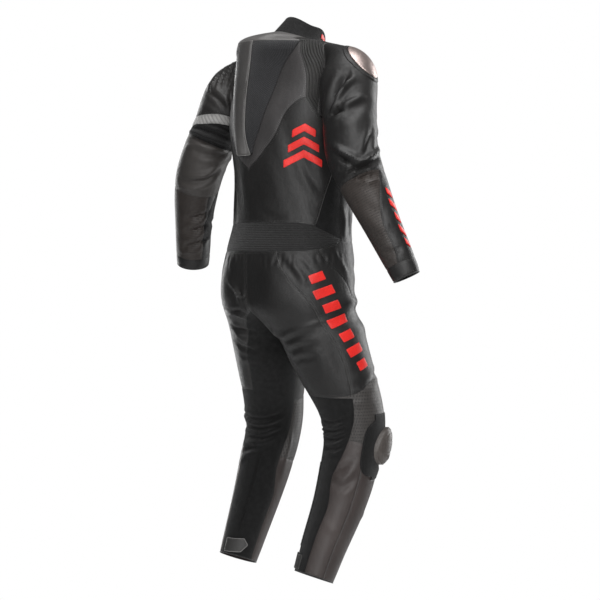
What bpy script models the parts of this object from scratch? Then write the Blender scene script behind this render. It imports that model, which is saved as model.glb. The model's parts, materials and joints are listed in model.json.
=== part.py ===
"""A one-piece leather motorcycle race suit with a back hump, filled out and hollow.

Frame: metres, +Z up, front towards -Y, the wearer's left towards +X. The origin lies on the
middle plane at the height of the shoulders. The tables below are in millimetres of the wearer:
out (sideways from the middle plane), fwd (forward) and height (above the ankle hems).
"""
import math

import bmesh
import bpy
import numpy as np
from mathutils import Matrix, Vector

MM = 0.001
ORIGIN_HEIGHT = 1340.0
LEFT, RIGHT = 1, -1
SIDE_NAME = {LEFT: "left", RIGHT: "right"}

# Cloth sizes
WALL = 2.0
COLLAR_WALL = 3.0
SEAM_GAP = 0.3
STRIP_WALL = 8.0
PATCH_WALL = 2.5
PLATE_WALL = 3.0
LINE_WIDTH = 0.3
SLIDE = 0.42            # a point this share of an edge or less from a cut moves onto it

# Surface parts, kept as the material index of each cage face
TORSO, COLLAR, SLEEVE_LEFT, SLEEVE_RIGHT, LEG_LEFT, LEG_RIGHT = range(6)
SLEEVE = {LEFT: SLEEVE_LEFT, RIGHT: SLEEVE_RIGHT}
LEG = {LEFT: LEG_LEFT, RIGHT: LEG_RIGHT}

HALF_COLUMNS = 8        # torso columns from the front middle to the back middle
LEG_COLUMN_COUNT = 10
SLEEVE_COLUMN_COUNT = 8
SIDE_COLUMN = 4
ARM_COLUMNS = (3, 5)    # the armhole lies between these columns
ARM_RINGS = (5, 7)      # and between these torso rings
FIT_ROUNDS = 12
SMOOTH_LEVEL = 1

# Torso rings, bottom to top: front point, side point, back point, how far the back middle sinks,
# and the squareness of the front and back corners.
TORSO_COLUMNS = ("front_fwd", "front_height", "side_out", "side_fwd", "side_height",
                 "back_fwd", "back_height", "cleft", "front_square", "back_square")
TORSO_RINGS = (
    (112, 672, 192, 3, 672, -146, 655, 18, 2.2, 2.5),     # seat
    (130, 735, 185, -4, 735, -163, 725, 13, 2.2, 2.4),    # hips
    (131, 835, 174, -4, 828, -154, 811, 2, 2.2, 2.2),     # waist seam
    (133, 884, 166, 0, 884, -135, 882, 0, 2.2, 2.2),
    (144, 1000, 169, 3, 1000, -141, 1000, 0, 2.3, 1.85),
    (142, 1130, 183, 0, 1148, -143, 1125, 0, 2.5, 2.05),   # armpit
    (122, 1220, 194, -1, 1230, -112, 1222, 0, 2.6, 2.15),
    (103, 1272, 178, 0, 1321, -86, 1308, 0, 2.6, 2.35),    # shoulder line
    (98, 1288, 128, 2, 1336, -70, 1342, 0, 2.4, 2.4),
    (92, 1300, 77, 16, 1347, -52, 1368, 0, 2.0, 2.0),     # neck
)
COLLAR_TOP = (95, 1340, 56, 41, 1383, -9, 1412, 0, 2.0, 2.0)

# Sleeve rings from the shoulder down: centre, radius sideways and radius front to back
SLEEVE_COLUMNS = ("out", "fwd", "height", "side_radius", "front_radius")
SLEEVE_RINGS = (
    (229, -16, 1230, 74, 69),
    (258, -34, 1168, 68, 66),
    (280, -51, 1106, 65, 64),
    (303, -65, 1044, 63, 62),     # elbow
    (332, -62, 982, 59, 59),
    (372, -44, 892, 49, 49),
    (410, -20, 800, 43, 43),
    (421, -13, 771, 40, 40),      # cuff
)
# What the arms differ by: added in full at the cuff, in part below the elbow
CUFF_SHIFT = {LEFT: (-3, 0, 10, 4, 4), RIGHT: (9, 6, -22, -7, -7)}
ARMHOLE_CENTRE = (176, -4, 1236)

# Leg rings from the seat down: centre, outer, inner, front and back radius
LEG_COLUMNS = ("out", "fwd", "height", "outer_radius", "inner_radius", "front_radius", "back_radius")
LEG_RINGS = (
    (99, 8, 617, 101, 93, 113, 113),
    (115, 22, 553, 103, 97, 107, 94),
    (146, 54, 446, 89, 81, 88, 80),
    (158, 66, 375, 82, 75, 83, 73),
    (160, 62, 320, 77, 73, 77, 68),     # knee
    (163, 42, 250, 72, 70, 75, 66),
    (162, 12, 165, 65, 64, 66, 61),
    (157, -25, 82, 57, 56, 59, 55),
    (154, -58, 2, 51, 50, 51, 50),      # ankle
)
CROTCH = (0, 0, 632)

# Panel edges. Columns count from the front middle round the side; heights in mm.
WAIST_SEAM = ((0, 835), (3.5, 835), (4.3, 827), (4.8, 817), (5.5, 812), (8, 811))   # column, height
RIB_TOP = ((5.1, 876), (5.6, 880), (8, 884))                                          # column, height
CHEST_SEAM = ((0, 1072), (4, 1098))                                                   # column, height
SIDE_FRONT = ((1150, 3.69), (1200, 4.0))                                            # height, column
SIDE_BACK = ((832, 3.5), (840, 3.62), (849, 3.99), (861, 4.49), (873, 4.93), (903, 4.8), (950, 4.58),
             (1038, 4.13), (1130, 4.1))                                                # height, column
ACCORDION_INNER = ((1118, 181), (1177, 156), (1190, 150), (1240, 145), (1270, 137),
                   (1300, 123), (1318, 116), (1332, 109), (1345, 70))               # height, out
WING_LOWER = ((0, 1018), (9, 1025), (35, 1043), (61, 1069), (86, 1098), (115, 1159), (151, 1190), (200, 1190))
HUMP_EDGE = ((1051, 17.5), (1066, 21), (1089, 29), (1122, 43), (1186, 57), (1244, 67),
             (1272, 74), (1296, 86), (1316, 100), (1334, 105), (1375, 102))         # height, out
HUMP_BOTTOM = 1051
STRIP_HALF = ((1051, 16), (1340, 27))                                               # height, out
STRIP_CLEARANCE = 0.4
CAP_HEIGHT = 1334
OUTER_BACK = ((0, 6.03), (109, 5.97), (174, 5.85), (243, 6.05), (307, 5.64), (355, 5.36),
              (400, 5.1), (455, 4.94), (557, 4.75), (634, 4.97), (681, 5.25), (736, 5.95),
              (800, 6.5), (840, 6.6))                                               # height, column
OUTER_FRONT = ((0, 2.7), (500, 2.7), (600, 2.75), (650, 2.9), (711, 3.25), (797, 4.58), (840, 5.0))
INNER_BACK = {
    LEFT: ((0, 6.9), (550, 6.9), (600, 7.3), (640, 7.7), (680, 8.3)),               # height, column
    RIGHT: ((0, 7.56), (550, 7.56), (615, 7.8), (650, 8.0), (680, 8.3)),
}
INNER_FRONT = ((0, 9.15), (160, 9.15), (206, 8.9), (240, 8.76), (303, 8.82), (350, 8.98), (400, 9.2))
THIGH_END = 446
KNEE_TOP = ((-2, 405), (0, 420), (2, 450), (3.2, 490), (4.94, 455), (7, 440))       # column, height
KNEE_BOTTOM = ((-2, 275), (1.5, 240), (3, 250), (4.5, 330), (5.4, 340), (7, 340))
SHIN_SEAM_COLUMN = 4.4
# Along a sleeve, seams are counted in rings and turns in degrees from the top over the front
BAND = ((1.93, 0.45), (2.33, 0.4))      # the ring in the middle of each edge, and how far it dips
BAND_DIP_COLUMN = 7.5
ELBOW_TOP = {LEFT: 3, RIGHT: 2.5}
UNDERARM = (85, 198)                    # the right arm's inside panel, in degrees
ELBOW_SEAM = 5
CUFF_SEAM = 7
FOREARM_OUTER = ((5, 7), (5.3, -5), (5.9, -37), (6.2, -46), (6.6, -46), (7, -58), (8, -72))
FOREARM_INNER = 180
WEDGE_FRONT = 105
WEDGE_BACK = ((5, 149), (6.1, 179), (8, 180))
WEDGE_END = 6.4

# The hump stands behind the back, highest at the ridge
RIDGE_FWD = ((1040, -158), (1051, -166), (1120, -170), (1186, -169), (1300, -155), (1334, -149), (1348, -138),
             (1358, -114), (1369, -66))                                             # height, fwd
HUMP_LIFT = 0.6
HUMP_FULLNESS = 0.8

# Trim and hard pieces
ZIP_HALF = 14.0
ZIP_BOTTOM = 700.0
TRIM_GAP = 0.3
PLATE_CENTRE = (1.05, 14)         # ring, degrees
PLATE_HALF = (0.5, 38)
KNEE_BASE_CENTRE = (3.0, 320)     # column, height
KNEE_BASE_HALF = (1.55, 66)
PUCK_CENTRE = (2.9, 321)
PUCK_HALF = (0.98, 47)
PUCK_EDGE = 9.0
PUCK_DEPTH = 22.0
CALF_ZIP_COLUMN = 7.45
CALF_ZIP_HALF = 5.0
CALF_ZIP_HEIGHTS = (78, 280)
ANKLE_TAB_HEIGHTS = (25, 58)
ANKLE_TAB_COLUMNS = (6.6, 8.0)
ANKLE_TAB_POINT = 0.4             # columns by which the tab's middle runs past its corners

SLIDER_HEIGHT = 1262.0
SLIDER_SIZE = (9.0, 14.0, 4.6)
POST_SIZE = (2.4, 3.0, 3.4)
PULL_LENGTH = 32.0
PULL_WIDTH = 8.0
PULL_DEPTH = 2.0
PRONG_WIDTH = 2.2
PRONG_GAP = 0.4
PRONG_RADIUS = 1.4
HINGE_RISE = 2.3

MATERIALS = {   # colour, roughness, metallic
    "leather": ((0.022, 0.020, 0.019), 0.5, 0.0),
    "grey_leather": ((0.085, 0.080, 0.078), 0.5, 0.0),
    "brown_leather": ((0.050, 0.042, 0.037), 0.55, 0.0),
    "mesh": ((0.028, 0.028, 0.031), 0.9, 0.0),
    "stretch": ((0.014, 0.014, 0.015), 0.85, 0.0),
    "rib": ((0.026, 0.025, 0.025), 0.8, 0.0),
    "silver": ((0.32, 0.31, 0.30), 0.4, 0.1),
    "collar": ((0.024, 0.023, 0.024), 0.8, 0.0),
    "plate": ((0.56, 0.47, 0.44), 0.28, 1.0),
    "hook_loop": ((0.012, 0.012, 0.013), 0.95, 0.0),
    "slider": ((0.16, 0.14, 0.13), 0.35, 0.0),
    "zip": ((0.012, 0.012, 0.012), 0.8, 0.0),
    "zip_metal": ((0.30, 0.30, 0.31), 0.3, 1.0),
}


def interp(rows, value):
    """Reads a two-column table at a value or an array of values."""
    table = np.array(rows, dtype=float)
    return np.interp(value, table[:, 0], table[:, 1])


def place(side, out, fwd, height):
    """Turns sizes of the wearer into a point of the frame, in metres."""
    return Vector((side * out, -fwd, height - ORIGIN_HEIGHT)) * MM


# ---------------------------------------------------------------- the cage


def torso_point(row, side, column):
    """A point of a torso ring: a squared oval from the front middle to the back middle."""
    ring = dict(zip(TORSO_COLUMNS, row))
    angle = math.pi * column / HALF_COLUMNS
    along, across = math.cos(angle), math.sin(angle)
    end = "front" if along >= 0 else "back"
    power = 2.0 / ring[end + "_square"]
    reach = abs(along) ** power
    fwd = ring["side_fwd"] + (ring[end + "_fwd"] - ring["side_fwd"]) * reach
    height = ring["side_height"] + (ring[end + "_height"] - ring["side_height"]) * along * along
    if column == HALF_COLUMNS:
        fwd += ring["cleft"]
    return place(side, ring["side_out"] * across ** power, fwd, height)


def limb_frames(side, rows, start):
    """The centre and the two cross directions of each ring of a sleeve or leg."""
    centres = [place(side, *start)] + [place(side, *row[:3]) for row in rows]
    frames = []
    for index in range(1, len(centres)):
        after = centres[min(index + 1, len(centres) - 1)]
        along = (after - centres[index - 1]).normalized()
        front = Vector((0, -1, 0))
        front = (front - along * front.dot(along)).normalized()
        outward = along.cross(front) if side == RIGHT else front.cross(along)
        frames.append((centres[index], outward, front))
    return frames


class Cage:
    """Points found by name, with four-cornered faces that carry a column and a ring number."""

    def __init__(self):
        self.points = []
        self.index = {}
        self.faces = []
        self.params = []
        self.parts = []

    def point(self, key, position):
        if key not in self.index:
            self.index[key] = len(self.points)
            self.points.append(position)
        return self.index[key]

    def face(self, side, part, corners, params):
        if side == RIGHT:
            corners, params = corners[::-1], params[::-1]
        self.faces.append(corners)
        self.params.append(params)
        self.parts.append(part)


def torso_key(side, ring, column):
    middle = column in (0, HALF_COLUMNS)
    return ("torso", 0 if middle else side, ring, column)


def add_torso(cage, side):
    """Rings from the seat to the neck and the collar, leaving the armhole open."""
    rows = TORSO_RINGS + (COLLAR_TOP,)
    top = len(rows) - 1

    def corner(ring, column):
        return cage.point(torso_key(side, ring, column), torso_point(rows[ring], side, column))

    for ring in range(top):
        for column in range(HALF_COLUMNS):
            in_arm = ARM_RINGS[0] <= ring < ARM_RINGS[1] and ARM_COLUMNS[0] <= column < ARM_COLUMNS[1]
            if in_arm:
                continue
            around = ((ring, column), (ring, column + 1), (ring + 1, column + 1), (ring + 1, column))
            part = COLLAR if ring == top - 1 else TORSO
            cage.face(side, part, [corner(*spot) for spot in around],
                      [(spot[1], spot[0]) for spot in around])


def armhole_loop(cage, side):
    """The armhole's cage points in order: over the top, down the front, up the back."""
    low, high = ARM_RINGS
    front, back = ARM_COLUMNS
    spots = [(high, SIDE_COLUMN)] + [(ring, front) for ring in range(high, low - 1, -1)]
    spots += [(low, SIDE_COLUMN)] + [(ring, back) for ring in range(low, high + 1)]
    return [cage.index[torso_key(side, *spot)] for spot in spots]


def add_sleeve(cage, side):
    """Eight columns from the armhole to the cuff, column 0 on top and column 4 underneath."""
    elbow, cuff = SLEEVE_RINGS[3][2], SLEEVE_RINGS[-1][2]
    rows = []
    for row in SLEEVE_RINGS:
        share = min(max((elbow - row[2]) / (elbow - cuff), 0), 1)
        rows.append([size + share * shift for size, shift in zip(row, CUFF_SHIFT[side])])
    frames = limb_frames(side, rows, ARMHOLE_CENTRE)
    previous = armhole_loop(cage, side)
    for number, (row, frame) in enumerate(zip(rows, frames)):
        ring = dict(zip(SLEEVE_COLUMNS, row))
        centre, outward, front = frame
        current = []
        for column in range(SLEEVE_COLUMN_COUNT):
            turn = 2 * math.pi * column / SLEEVE_COLUMN_COUNT
            offset = (outward * ring["side_radius"] * math.cos(turn)
                      + front * ring["front_radius"] * math.sin(turn))
            current.append(cage.point(("sleeve", side, number, column), centre + offset * MM))
        for column in range(SLEEVE_COLUMN_COUNT):
            nxt = (column + 1) % SLEEVE_COLUMN_COUNT
            cage.face(side, SLEEVE[side],
                      [previous[column], previous[nxt], current[nxt], current[column]],
                      [(column, number), (column + 1, number),
                       (column + 1, number + 1), (column, number + 1)])
        previous = current


def add_leg(cage, side):
    """Ten columns from the seat to the ankle: the torso's columns 0 to 8, then the inside."""
    crotch = cage.point(("crotch",), place(side, *CROTCH))
    previous = [cage.index[torso_key(side, 0, column)] for column in range(HALF_COLUMNS + 1)]
    previous.append(crotch)
    frames = limb_frames(side, LEG_RINGS, (75, 2, 690))
    for number, (row, frame) in enumerate(zip(LEG_RINGS, frames)):
        ring = dict(zip(LEG_COLUMNS, row))
        centre, outward, front = frame
        current = []
        for column in range(LEG_COLUMN_COUNT):
            turn = 2 * math.pi * (SIDE_COLUMN - column) / LEG_COLUMN_COUNT
            side_radius = ring["outer_radius"] if math.cos(turn) > 0 else ring["inner_radius"]
            front_radius = ring["front_radius"] if math.sin(turn) > 0 else ring["back_radius"]
            offset = outward * side_radius * math.cos(turn) + front * front_radius * math.sin(turn)
            current.append(cage.point(("leg", side, number, column), centre + offset * MM))
        for column in range(LEG_COLUMN_COUNT):
            nxt = (column + 1) % LEG_COLUMN_COUNT
            cage.face(side, LEG[side],
                      [current[column], current[nxt], previous[nxt], previous[column]],
                      [(column, number + 1), (column + 1, number + 1),
                       (column + 1, number), (column, number)])
        previous = current


def limit_matrix(count, faces):
    """Each row gives where a cage point ends on the smooth surface."""
    matrix = np.zeros((count, count))
    valence = np.zeros(count)
    edges = {}
    for face in faces:
        for corner, vertex in enumerate(face):
            after, across, before = (face[(corner + step) % 4] for step in (1, 2, 3))
            valence[vertex] += 1
            matrix[vertex, after] += 2
            matrix[vertex, before] += 2
            matrix[vertex, across] += 1
            edge = (min(vertex, after), max(vertex, after))
            edges[edge] = edges.get(edge, 0) + 1
    for vertex in range(count):
        size = valence[vertex]
        matrix[vertex] /= size * (size + 5)
        matrix[vertex, vertex] += size / (size + 5)
    rim = [edge for edge, uses in edges.items() if uses == 1]
    for vertex in {vertex for edge in rim for vertex in edge}:
        matrix[vertex] = 0
        matrix[vertex, vertex] = 4 / 6
    for first, second in rim:
        matrix[first, second] = 1 / 6
        matrix[second, first] = 1 / 6
    return matrix


def fitted(points, faces):
    """Moves the cage until its smooth surface passes through the tables' points."""
    targets = np.array([tuple(point) for point in points])
    matrix = limit_matrix(len(targets), faces)
    cage = targets.copy()
    for _ in range(FIT_ROUNDS):
        cage += targets - matrix @ cage
    return cage


# ---------------------------------------------------------------- cloth cut from the surface


class Cloth:
    """Triangles of the smooth surface, with a column and ring number at each corner."""

    def __init__(self, bank, faces, params):
        self.bank = bank
        self.faces = faces
        self.params = params

    def corners(self):
        """Out, fwd and height in mm, and the column, of every corner."""
        points = self.bank.points[self.faces] / MM
        out = points[..., 0]
        return out, -points[..., 1], points[..., 2] + ORIGIN_HEIGHT, self.params[..., 0]

    def slide(self, values):
        """Moves points that lie near the line onto it, so that the cut leaves no slivers."""
        bank = self.bank
        moves = {}
        for number in np.flatnonzero((values > 0).any(axis=1) & (values < 0).any(axis=1)):
            for i, j in ((0, 1), (1, 2), (2, 0), (1, 0), (2, 1), (0, 2)):
                here, there = self.faces[number, i], self.faces[number, j]
                if values[number, i] * values[number, j] >= 0 or bank.on_seam[here]:
                    continue
                share = values[number, i] / (values[number, i] - values[number, j])
                if share < moves.get(here, (SLIDE,))[0]:
                    step = self.params[number, j] - self.params[number, i]
                    moves[here] = (share, there, step)
        start = bank.points.copy()
        for here, (share, there, step) in moves.items():
            bank.points[here] += (start[there] - start[here]) * share
            at_point = self.faces == here
            self.params[at_point] += step * share
            values[at_point] = 0.0

    def split(self, values, slide=True):
        """Cuts along the line where the corner values are 0: (above, below)."""
        values = np.where(np.abs(values) < LINE_WIDTH, 0.0, values)
        if slide:
            self.slide(values)
        above = (values >= 0).all(axis=1)
        below = (values <= 0).all(axis=1) & ~above
        sides = {True: ([self.faces[above]], [self.params[above]]),
                 False: ([self.faces[below]], [self.params[below]])}
        for number in np.flatnonzero(~above & ~below):
            for upper in (True, False):
                corners = self.clip(number, values[number] if upper else -values[number])
                fan = [(corners[0], corners[i], corners[i + 1]) for i in range(1, len(corners) - 1)]
                faces, params = sides[upper]
                faces.append(np.array([[corner[0] for corner in tri] for tri in fan]))
                params.append(np.array([[corner[1] for corner in tri] for tri in fan]))
        upper, lower = (Cloth(self.bank, np.concatenate(sides[key][0]), np.concatenate(sides[key][1]))
                        for key in (True, False))
        self.bank.on_seam[np.intersect1d(upper.faces, lower.faces)] = True
        return upper, lower

    def clip(self, number, value):
        """The corners of one triangle's part with values of 0 or more."""
        corners = []
        for i in range(3):
            j = (i + 1) % 3
            here, there = self.faces[number, i], self.faces[number, j]
            if value[i] >= 0:
                corners.append((here, self.params[number, i]))
            if value[i] * value[j] < 0:
                share = value[i] / (value[i] - value[j])
                mixed = self.params[number, i] * (1 - share) + self.params[number, j] * share
                corners.append((self.bank.between(here, there, share), mixed))
        return corners

    def pick(self, mask):
        return Cloth(self.bank, self.faces[mask], self.params[mask])


class Bank:
    """The points and normals that all cloth cut from one surface shares.

    A point on a seam or an open edge stays where it is when later cuts move points.
    """

    def __init__(self, points, normals):
        self.points = points
        self.normals = normals
        self.on_seam = np.zeros(len(points), dtype=bool)
        self.cuts = {}

    def between(self, first, second, share):
        """The point part of the way from one point to another, made once for both sides of a cut."""
        if first > second:
            first, second, share = second, first, 1 - share
        key = (first, second, round(share, 6))
        if key not in self.cuts:
            point = self.points[first] * (1 - share) + self.points[second] * share
            normal = self.normals[first] * (1 - share) + self.normals[second] * share
            self.cuts[key] = len(self.points)
            self.points = np.vstack([self.points, point])
            self.normals = np.vstack([self.normals, normal])
            self.on_seam = np.append(self.on_seam, True)
        return self.cuts[key]


def rim_points(faces):
    """The points on the open edges of a patch."""
    directed = {(face[i], face[(i + 1) % 3]) for face in faces for i in range(3)}
    return np.unique([point for edge in directed if edge[::-1] not in directed for point in edge])


def largest_body(faces):
    """Keeps the triangles of the biggest patch that hangs together along its edges."""
    owner = list(range(len(faces)))

    def root(number):
        while owner[number] != number:
            owner[number] = owner[owner[number]]
            number = owner[number]
        return number

    edges = {}
    for number, face in enumerate(faces):
        for corner in range(3):
            edge = tuple(sorted((face[corner], face[(corner + 1) % 3])))
            if edge in edges:
                owner[root(number)] = root(edges[edge])
            edges[edge] = number
    roots = np.array([root(number) for number in range(len(faces))])
    names, counts = np.unique(roots, return_counts=True)
    return roots == names[counts.argmax()]


def wall_mesh(name, cloth, inner, outer):
    """A closed wall between two offsets of the cloth, its edge drawn in by half the seam gap.

    inner and outer are lengths in mm along the normals, or functions that turn the drawn-in
    points and their normals into the moved points.
    """
    faces = cloth.faces[largest_body(cloth.faces)]
    used, flat = np.unique(faces, return_inverse=True)
    faces = flat.reshape(faces.shape)
    points = cloth.bank.points[used].copy()
    normals = cloth.bank.normals[used]
    directed = {(face[i], face[(i + 1) % 3]) for face in faces for i in range(3)}
    rim = [edge for edge in directed if edge[::-1] not in directed]
    inward = np.zeros_like(points)
    for first, second in rim:
        along = points[second] - points[first]
        step = np.cross(normals[first] + normals[second], along)
        step /= max(np.linalg.norm(step), 1e-12)
        inward[first] += step
        inward[second] += step
    length = np.linalg.norm(inward, axis=1, keepdims=True)
    points += np.divide(inward, length, out=np.zeros_like(inward), where=length > 0) * SEAM_GAP * MM / 2

    def moved(amount):
        return amount(points, normals) if callable(amount) else points + normals * amount * MM

    count = len(points)
    solid = [tuple(face) for face in faces]
    solid += [tuple(count + corner for corner in face[::-1]) for face in faces]
    for first, second in rim:
        # the diagonal follows the points' order, so that both sides of a seam twist alike
        if used[first] < used[second]:
            solid += [(second, first, count + first), (second, count + first, count + second)]
        else:
            solid += [(second, first, count + second), (first, count + first, count + second)]
    mesh = bpy.data.meshes.new(name)
    mesh.from_pydata(np.concatenate([moved(outer), moved(inner)]).tolist(), [], solid)
    mesh.shade_smooth()
    mesh.set_sharp_from_angle(angle=math.radians(40))
    return mesh


# ---------------------------------------------------------------- scene objects


def new_collection(name):
    collection = bpy.data.collections.new(name)
    bpy.context.scene.collection.children.link(collection)
    return collection


def principled(node, slot):
    """A material of its own for each piece, in the colour of its cloth."""
    colour, roughness, metallic = MATERIALS[slot]
    material = bpy.data.materials.new(node)
    material.use_nodes = True
    shader = material.node_tree.nodes["Principled BSDF"]
    shader.inputs["Base Color"].default_value = (*colour, 1)
    shader.inputs["Roughness"].default_value = roughness
    shader.inputs["Metallic"].default_value = metallic
    return material


def add_piece(name, mesh, slot, collection):
    piece = bpy.data.objects.new(name, mesh)
    mesh.materials.clear()
    mesh.materials.append(principled(name, slot))
    collection.objects.link(piece)
    return piece


def build_surface(guides):
    """The cage, its smooth surface, and the whole surface as cloth for each part."""
    cage = Cage()
    for side in (LEFT, RIGHT):
        add_torso(cage, side)
        add_sleeve(cage, side)
        add_leg(cage, side)
    mesh = bpy.data.meshes.new("suit_cage")
    mesh.from_pydata(fitted(cage.points, cage.faces).tolist(), [], cage.faces)
    mesh.polygons.foreach_set("material_index", cage.parts)
    layer = mesh.uv_layers.new(name="columns")
    layer.data.foreach_set("uv", np.array(cage.params, dtype=float).ravel())
    guide = bpy.data.objects.new("suit_cage", mesh)
    guides.objects.link(guide)
    guide.hide_render = True
    guide.display_type = "WIRE"
    smooth = guide.modifiers.new("smooth", "SUBSURF")
    smooth.levels = SMOOTH_LEVEL
    smooth.render_levels = SMOOTH_LEVEL
    smooth.use_limit_surface = True
    smooth.uv_smooth = "NONE"
    for part in range(6):
        mesh.materials.append(None)
    bpy.context.view_layer.update()
    evaluated = guide.evaluated_get(bpy.context.evaluated_depsgraph_get())
    fine = bpy.data.meshes.new_from_object(evaluated)
    points = np.empty(len(fine.vertices) * 3)
    fine.vertices.foreach_get("co", points)
    normals = np.empty(len(fine.vertices) * 3)
    fine.vertex_normals.foreach_get("vector", normals)
    quads = np.empty(len(fine.loops), dtype=int)
    fine.loops.foreach_get("vertex_index", quads)
    params = np.empty(len(fine.loops) * 2)
    fine.uv_layers[0].data.foreach_get("uv", params)
    parts = np.empty(len(fine.polygons), dtype=int)
    fine.polygons.foreach_get("material_index", parts)
    bpy.data.meshes.remove(fine)
    quads, params = quads.reshape(-1, 4), params.reshape(-1, 4, 2)
    halves = ((0, 1, 2), (0, 2, 3))
    bank = Bank(points.reshape(-1, 3), normals.reshape(-1, 3))
    whole = Cloth(bank, np.concatenate([quads[:, half] for half in halves]),
                  np.concatenate([params[:, half] for half in halves]))
    parts = np.concatenate([parts, parts])
    bank.on_seam[np.abs(bank.points[:, 0]) < LINE_WIDTH * MM] = True
    for part in range(6):
        bank.on_seam[rim_points(whole.faces[parts == part])] = True
    return whole, parts


# ---------------------------------------------------------------- edges as fields


TORSO_COLUMN_WIDTH = 55.0      # mm of cloth in one column
LEG_COLUMN_WIDTH = 50.0
SLEEVE_DEGREE_WIDTH = 0.9      # mm of cloth in one degree
SLEEVE_RING_LENGTH = 65.0      # mm of cloth between two rings


def around(values, low, high, whole, scale):
    """Above 0 between two places on a closed ring, where the count starts again after a whole turn."""
    middle, half = (low + high) / 2, (high - low) / 2
    turn = (values - middle + whole / 2) % whole - whole / 2
    return (half - np.abs(turn)) * scale


def oval(first, second, scale):
    """Above 0 inside an oval given by two distances as shares of its half sizes."""
    return (1 - np.sqrt(first ** 2 + second ** 2)) * scale


def wrapped(columns):
    """Columns of a leg as numbers that run through 0 on the inside front."""
    return np.where(columns > 8.6, columns - LEG_COLUMN_COUNT, columns)


def cut_jacket(cloth, pieces):
    """Front, sides and back of the jacket, above the waist seam."""
    width = TORSO_COLUMN_WIDTH
    _, _, height, column = cloth.corners()
    front, rest = cloth.split((interp(SIDE_FRONT, height) - column) * width)
    out = front.corners()[0]
    tape, front = front.split(ZIP_HALF - np.abs(out))
    _, _, height, column = front.corners()
    chest, front = front.split(height - interp(CHEST_SEAM, column))
    _, _, height, column = rest.corners()
    sides, back = rest.split((interp(SIDE_BACK, height) - column) * width - (height > 1165) * 1000)
    _, _, height, column = back.corners()
    back, rib = back.split(height - interp(RIB_TOP, column))
    pieces["waist_rib"] = (rib, "rib")
    out, _, height, _ = back.corners()
    accordion, back = back.split(np.abs(out) - interp(ACCORDION_INNER, height))
    out, _, height, _ = back.corners()
    upper, lower = back.split(height - interp(WING_LOWER, np.abs(out)))
    pieces["lower_back"] = (lower, "leather")
    out, _, height, _ = upper.corners()
    inside = np.minimum(interp(HUMP_EDGE, height) - np.abs(out), height - HUMP_BOTTOM)
    centre, wings = upper.split(inside)
    pieces["back_centre"] = (centre, "leather")
    for name, group, slot in (("chest", chest, "leather"), ("front", front, "leather"),
                              ("side", sides, "stretch"),
                              ("accordion", accordion, "rib"), ("wing", wings, "grey_leather")):
        add_sides(pieces, name, group, slot)
    return tape


def add_sides(pieces, name, cloth, slot):
    """Splits cloth at the middle plane into a left and a right piece."""
    left = cloth.bank.points[cloth.faces][..., 0].mean(axis=1) > 0
    pieces[name + "_left"] = (cloth.pick(left), slot)
    pieces[name + "_right"] = (cloth.pick(~left), slot)


def cut_trousers(cloth, side, pieces):
    """Seat, thigh, knee, shin and the black stretch that runs down the inside."""
    name = SIDE_NAME[side]

    def columns_between(column, low, high):
        return around(column, low, high, LEG_COLUMN_COUNT, LEG_COLUMN_WIDTH)

    _, _, height, column = cloth.corners()
    thigh = columns_between(column, interp(INNER_BACK[side], height), interp(INNER_FRONT, height))
    calf = columns_between(column, interp(OUTER_BACK, height), interp(INNER_FRONT, height))
    in_stretch = np.maximum(thigh, np.minimum(calf, THIGH_END - height))
    stretch, rest = cloth.split(in_stretch)
    pieces["inner_stretch_" + name] = (stretch, "stretch")
    _, _, height, column = rest.corners()
    thigh, lower = rest.split(height - interp(KNEE_TOP, wrapped(column)))
    _, _, height, column = lower.corners()
    knee, shin = lower.split(height - interp(KNEE_BOTTOM, wrapped(column)))
    pieces["knee_" + name] = (knee, "brown_leather")
    outer, front = shin.split(columns_between(shin.params[..., 0], SHIN_SEAM_COLUMN, 7.5))
    pieces["shin_outer_" + name] = (outer, "brown_leather")
    pieces["shin_front_" + name] = (front, "grey_leather")
    _, _, height, column = thigh.corners()
    seat, ahead = thigh.split(columns_between(column, interp(OUTER_BACK, height), 8.6))
    pieces["seat_" + name] = (seat, "leather")
    _, _, height, column = ahead.corners()
    outer, front = ahead.split(columns_between(column, interp(OUTER_FRONT, height), 7.5))
    pieces["thigh_outer_" + name] = (outer, "leather")
    out, _, height, _ = front.corners()
    tape, front = front.split(np.minimum(ZIP_HALF - np.abs(out), height - ZIP_BOTTOM))
    pieces["thigh_front_" + name] = (front, "leather")
    return tape


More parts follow.
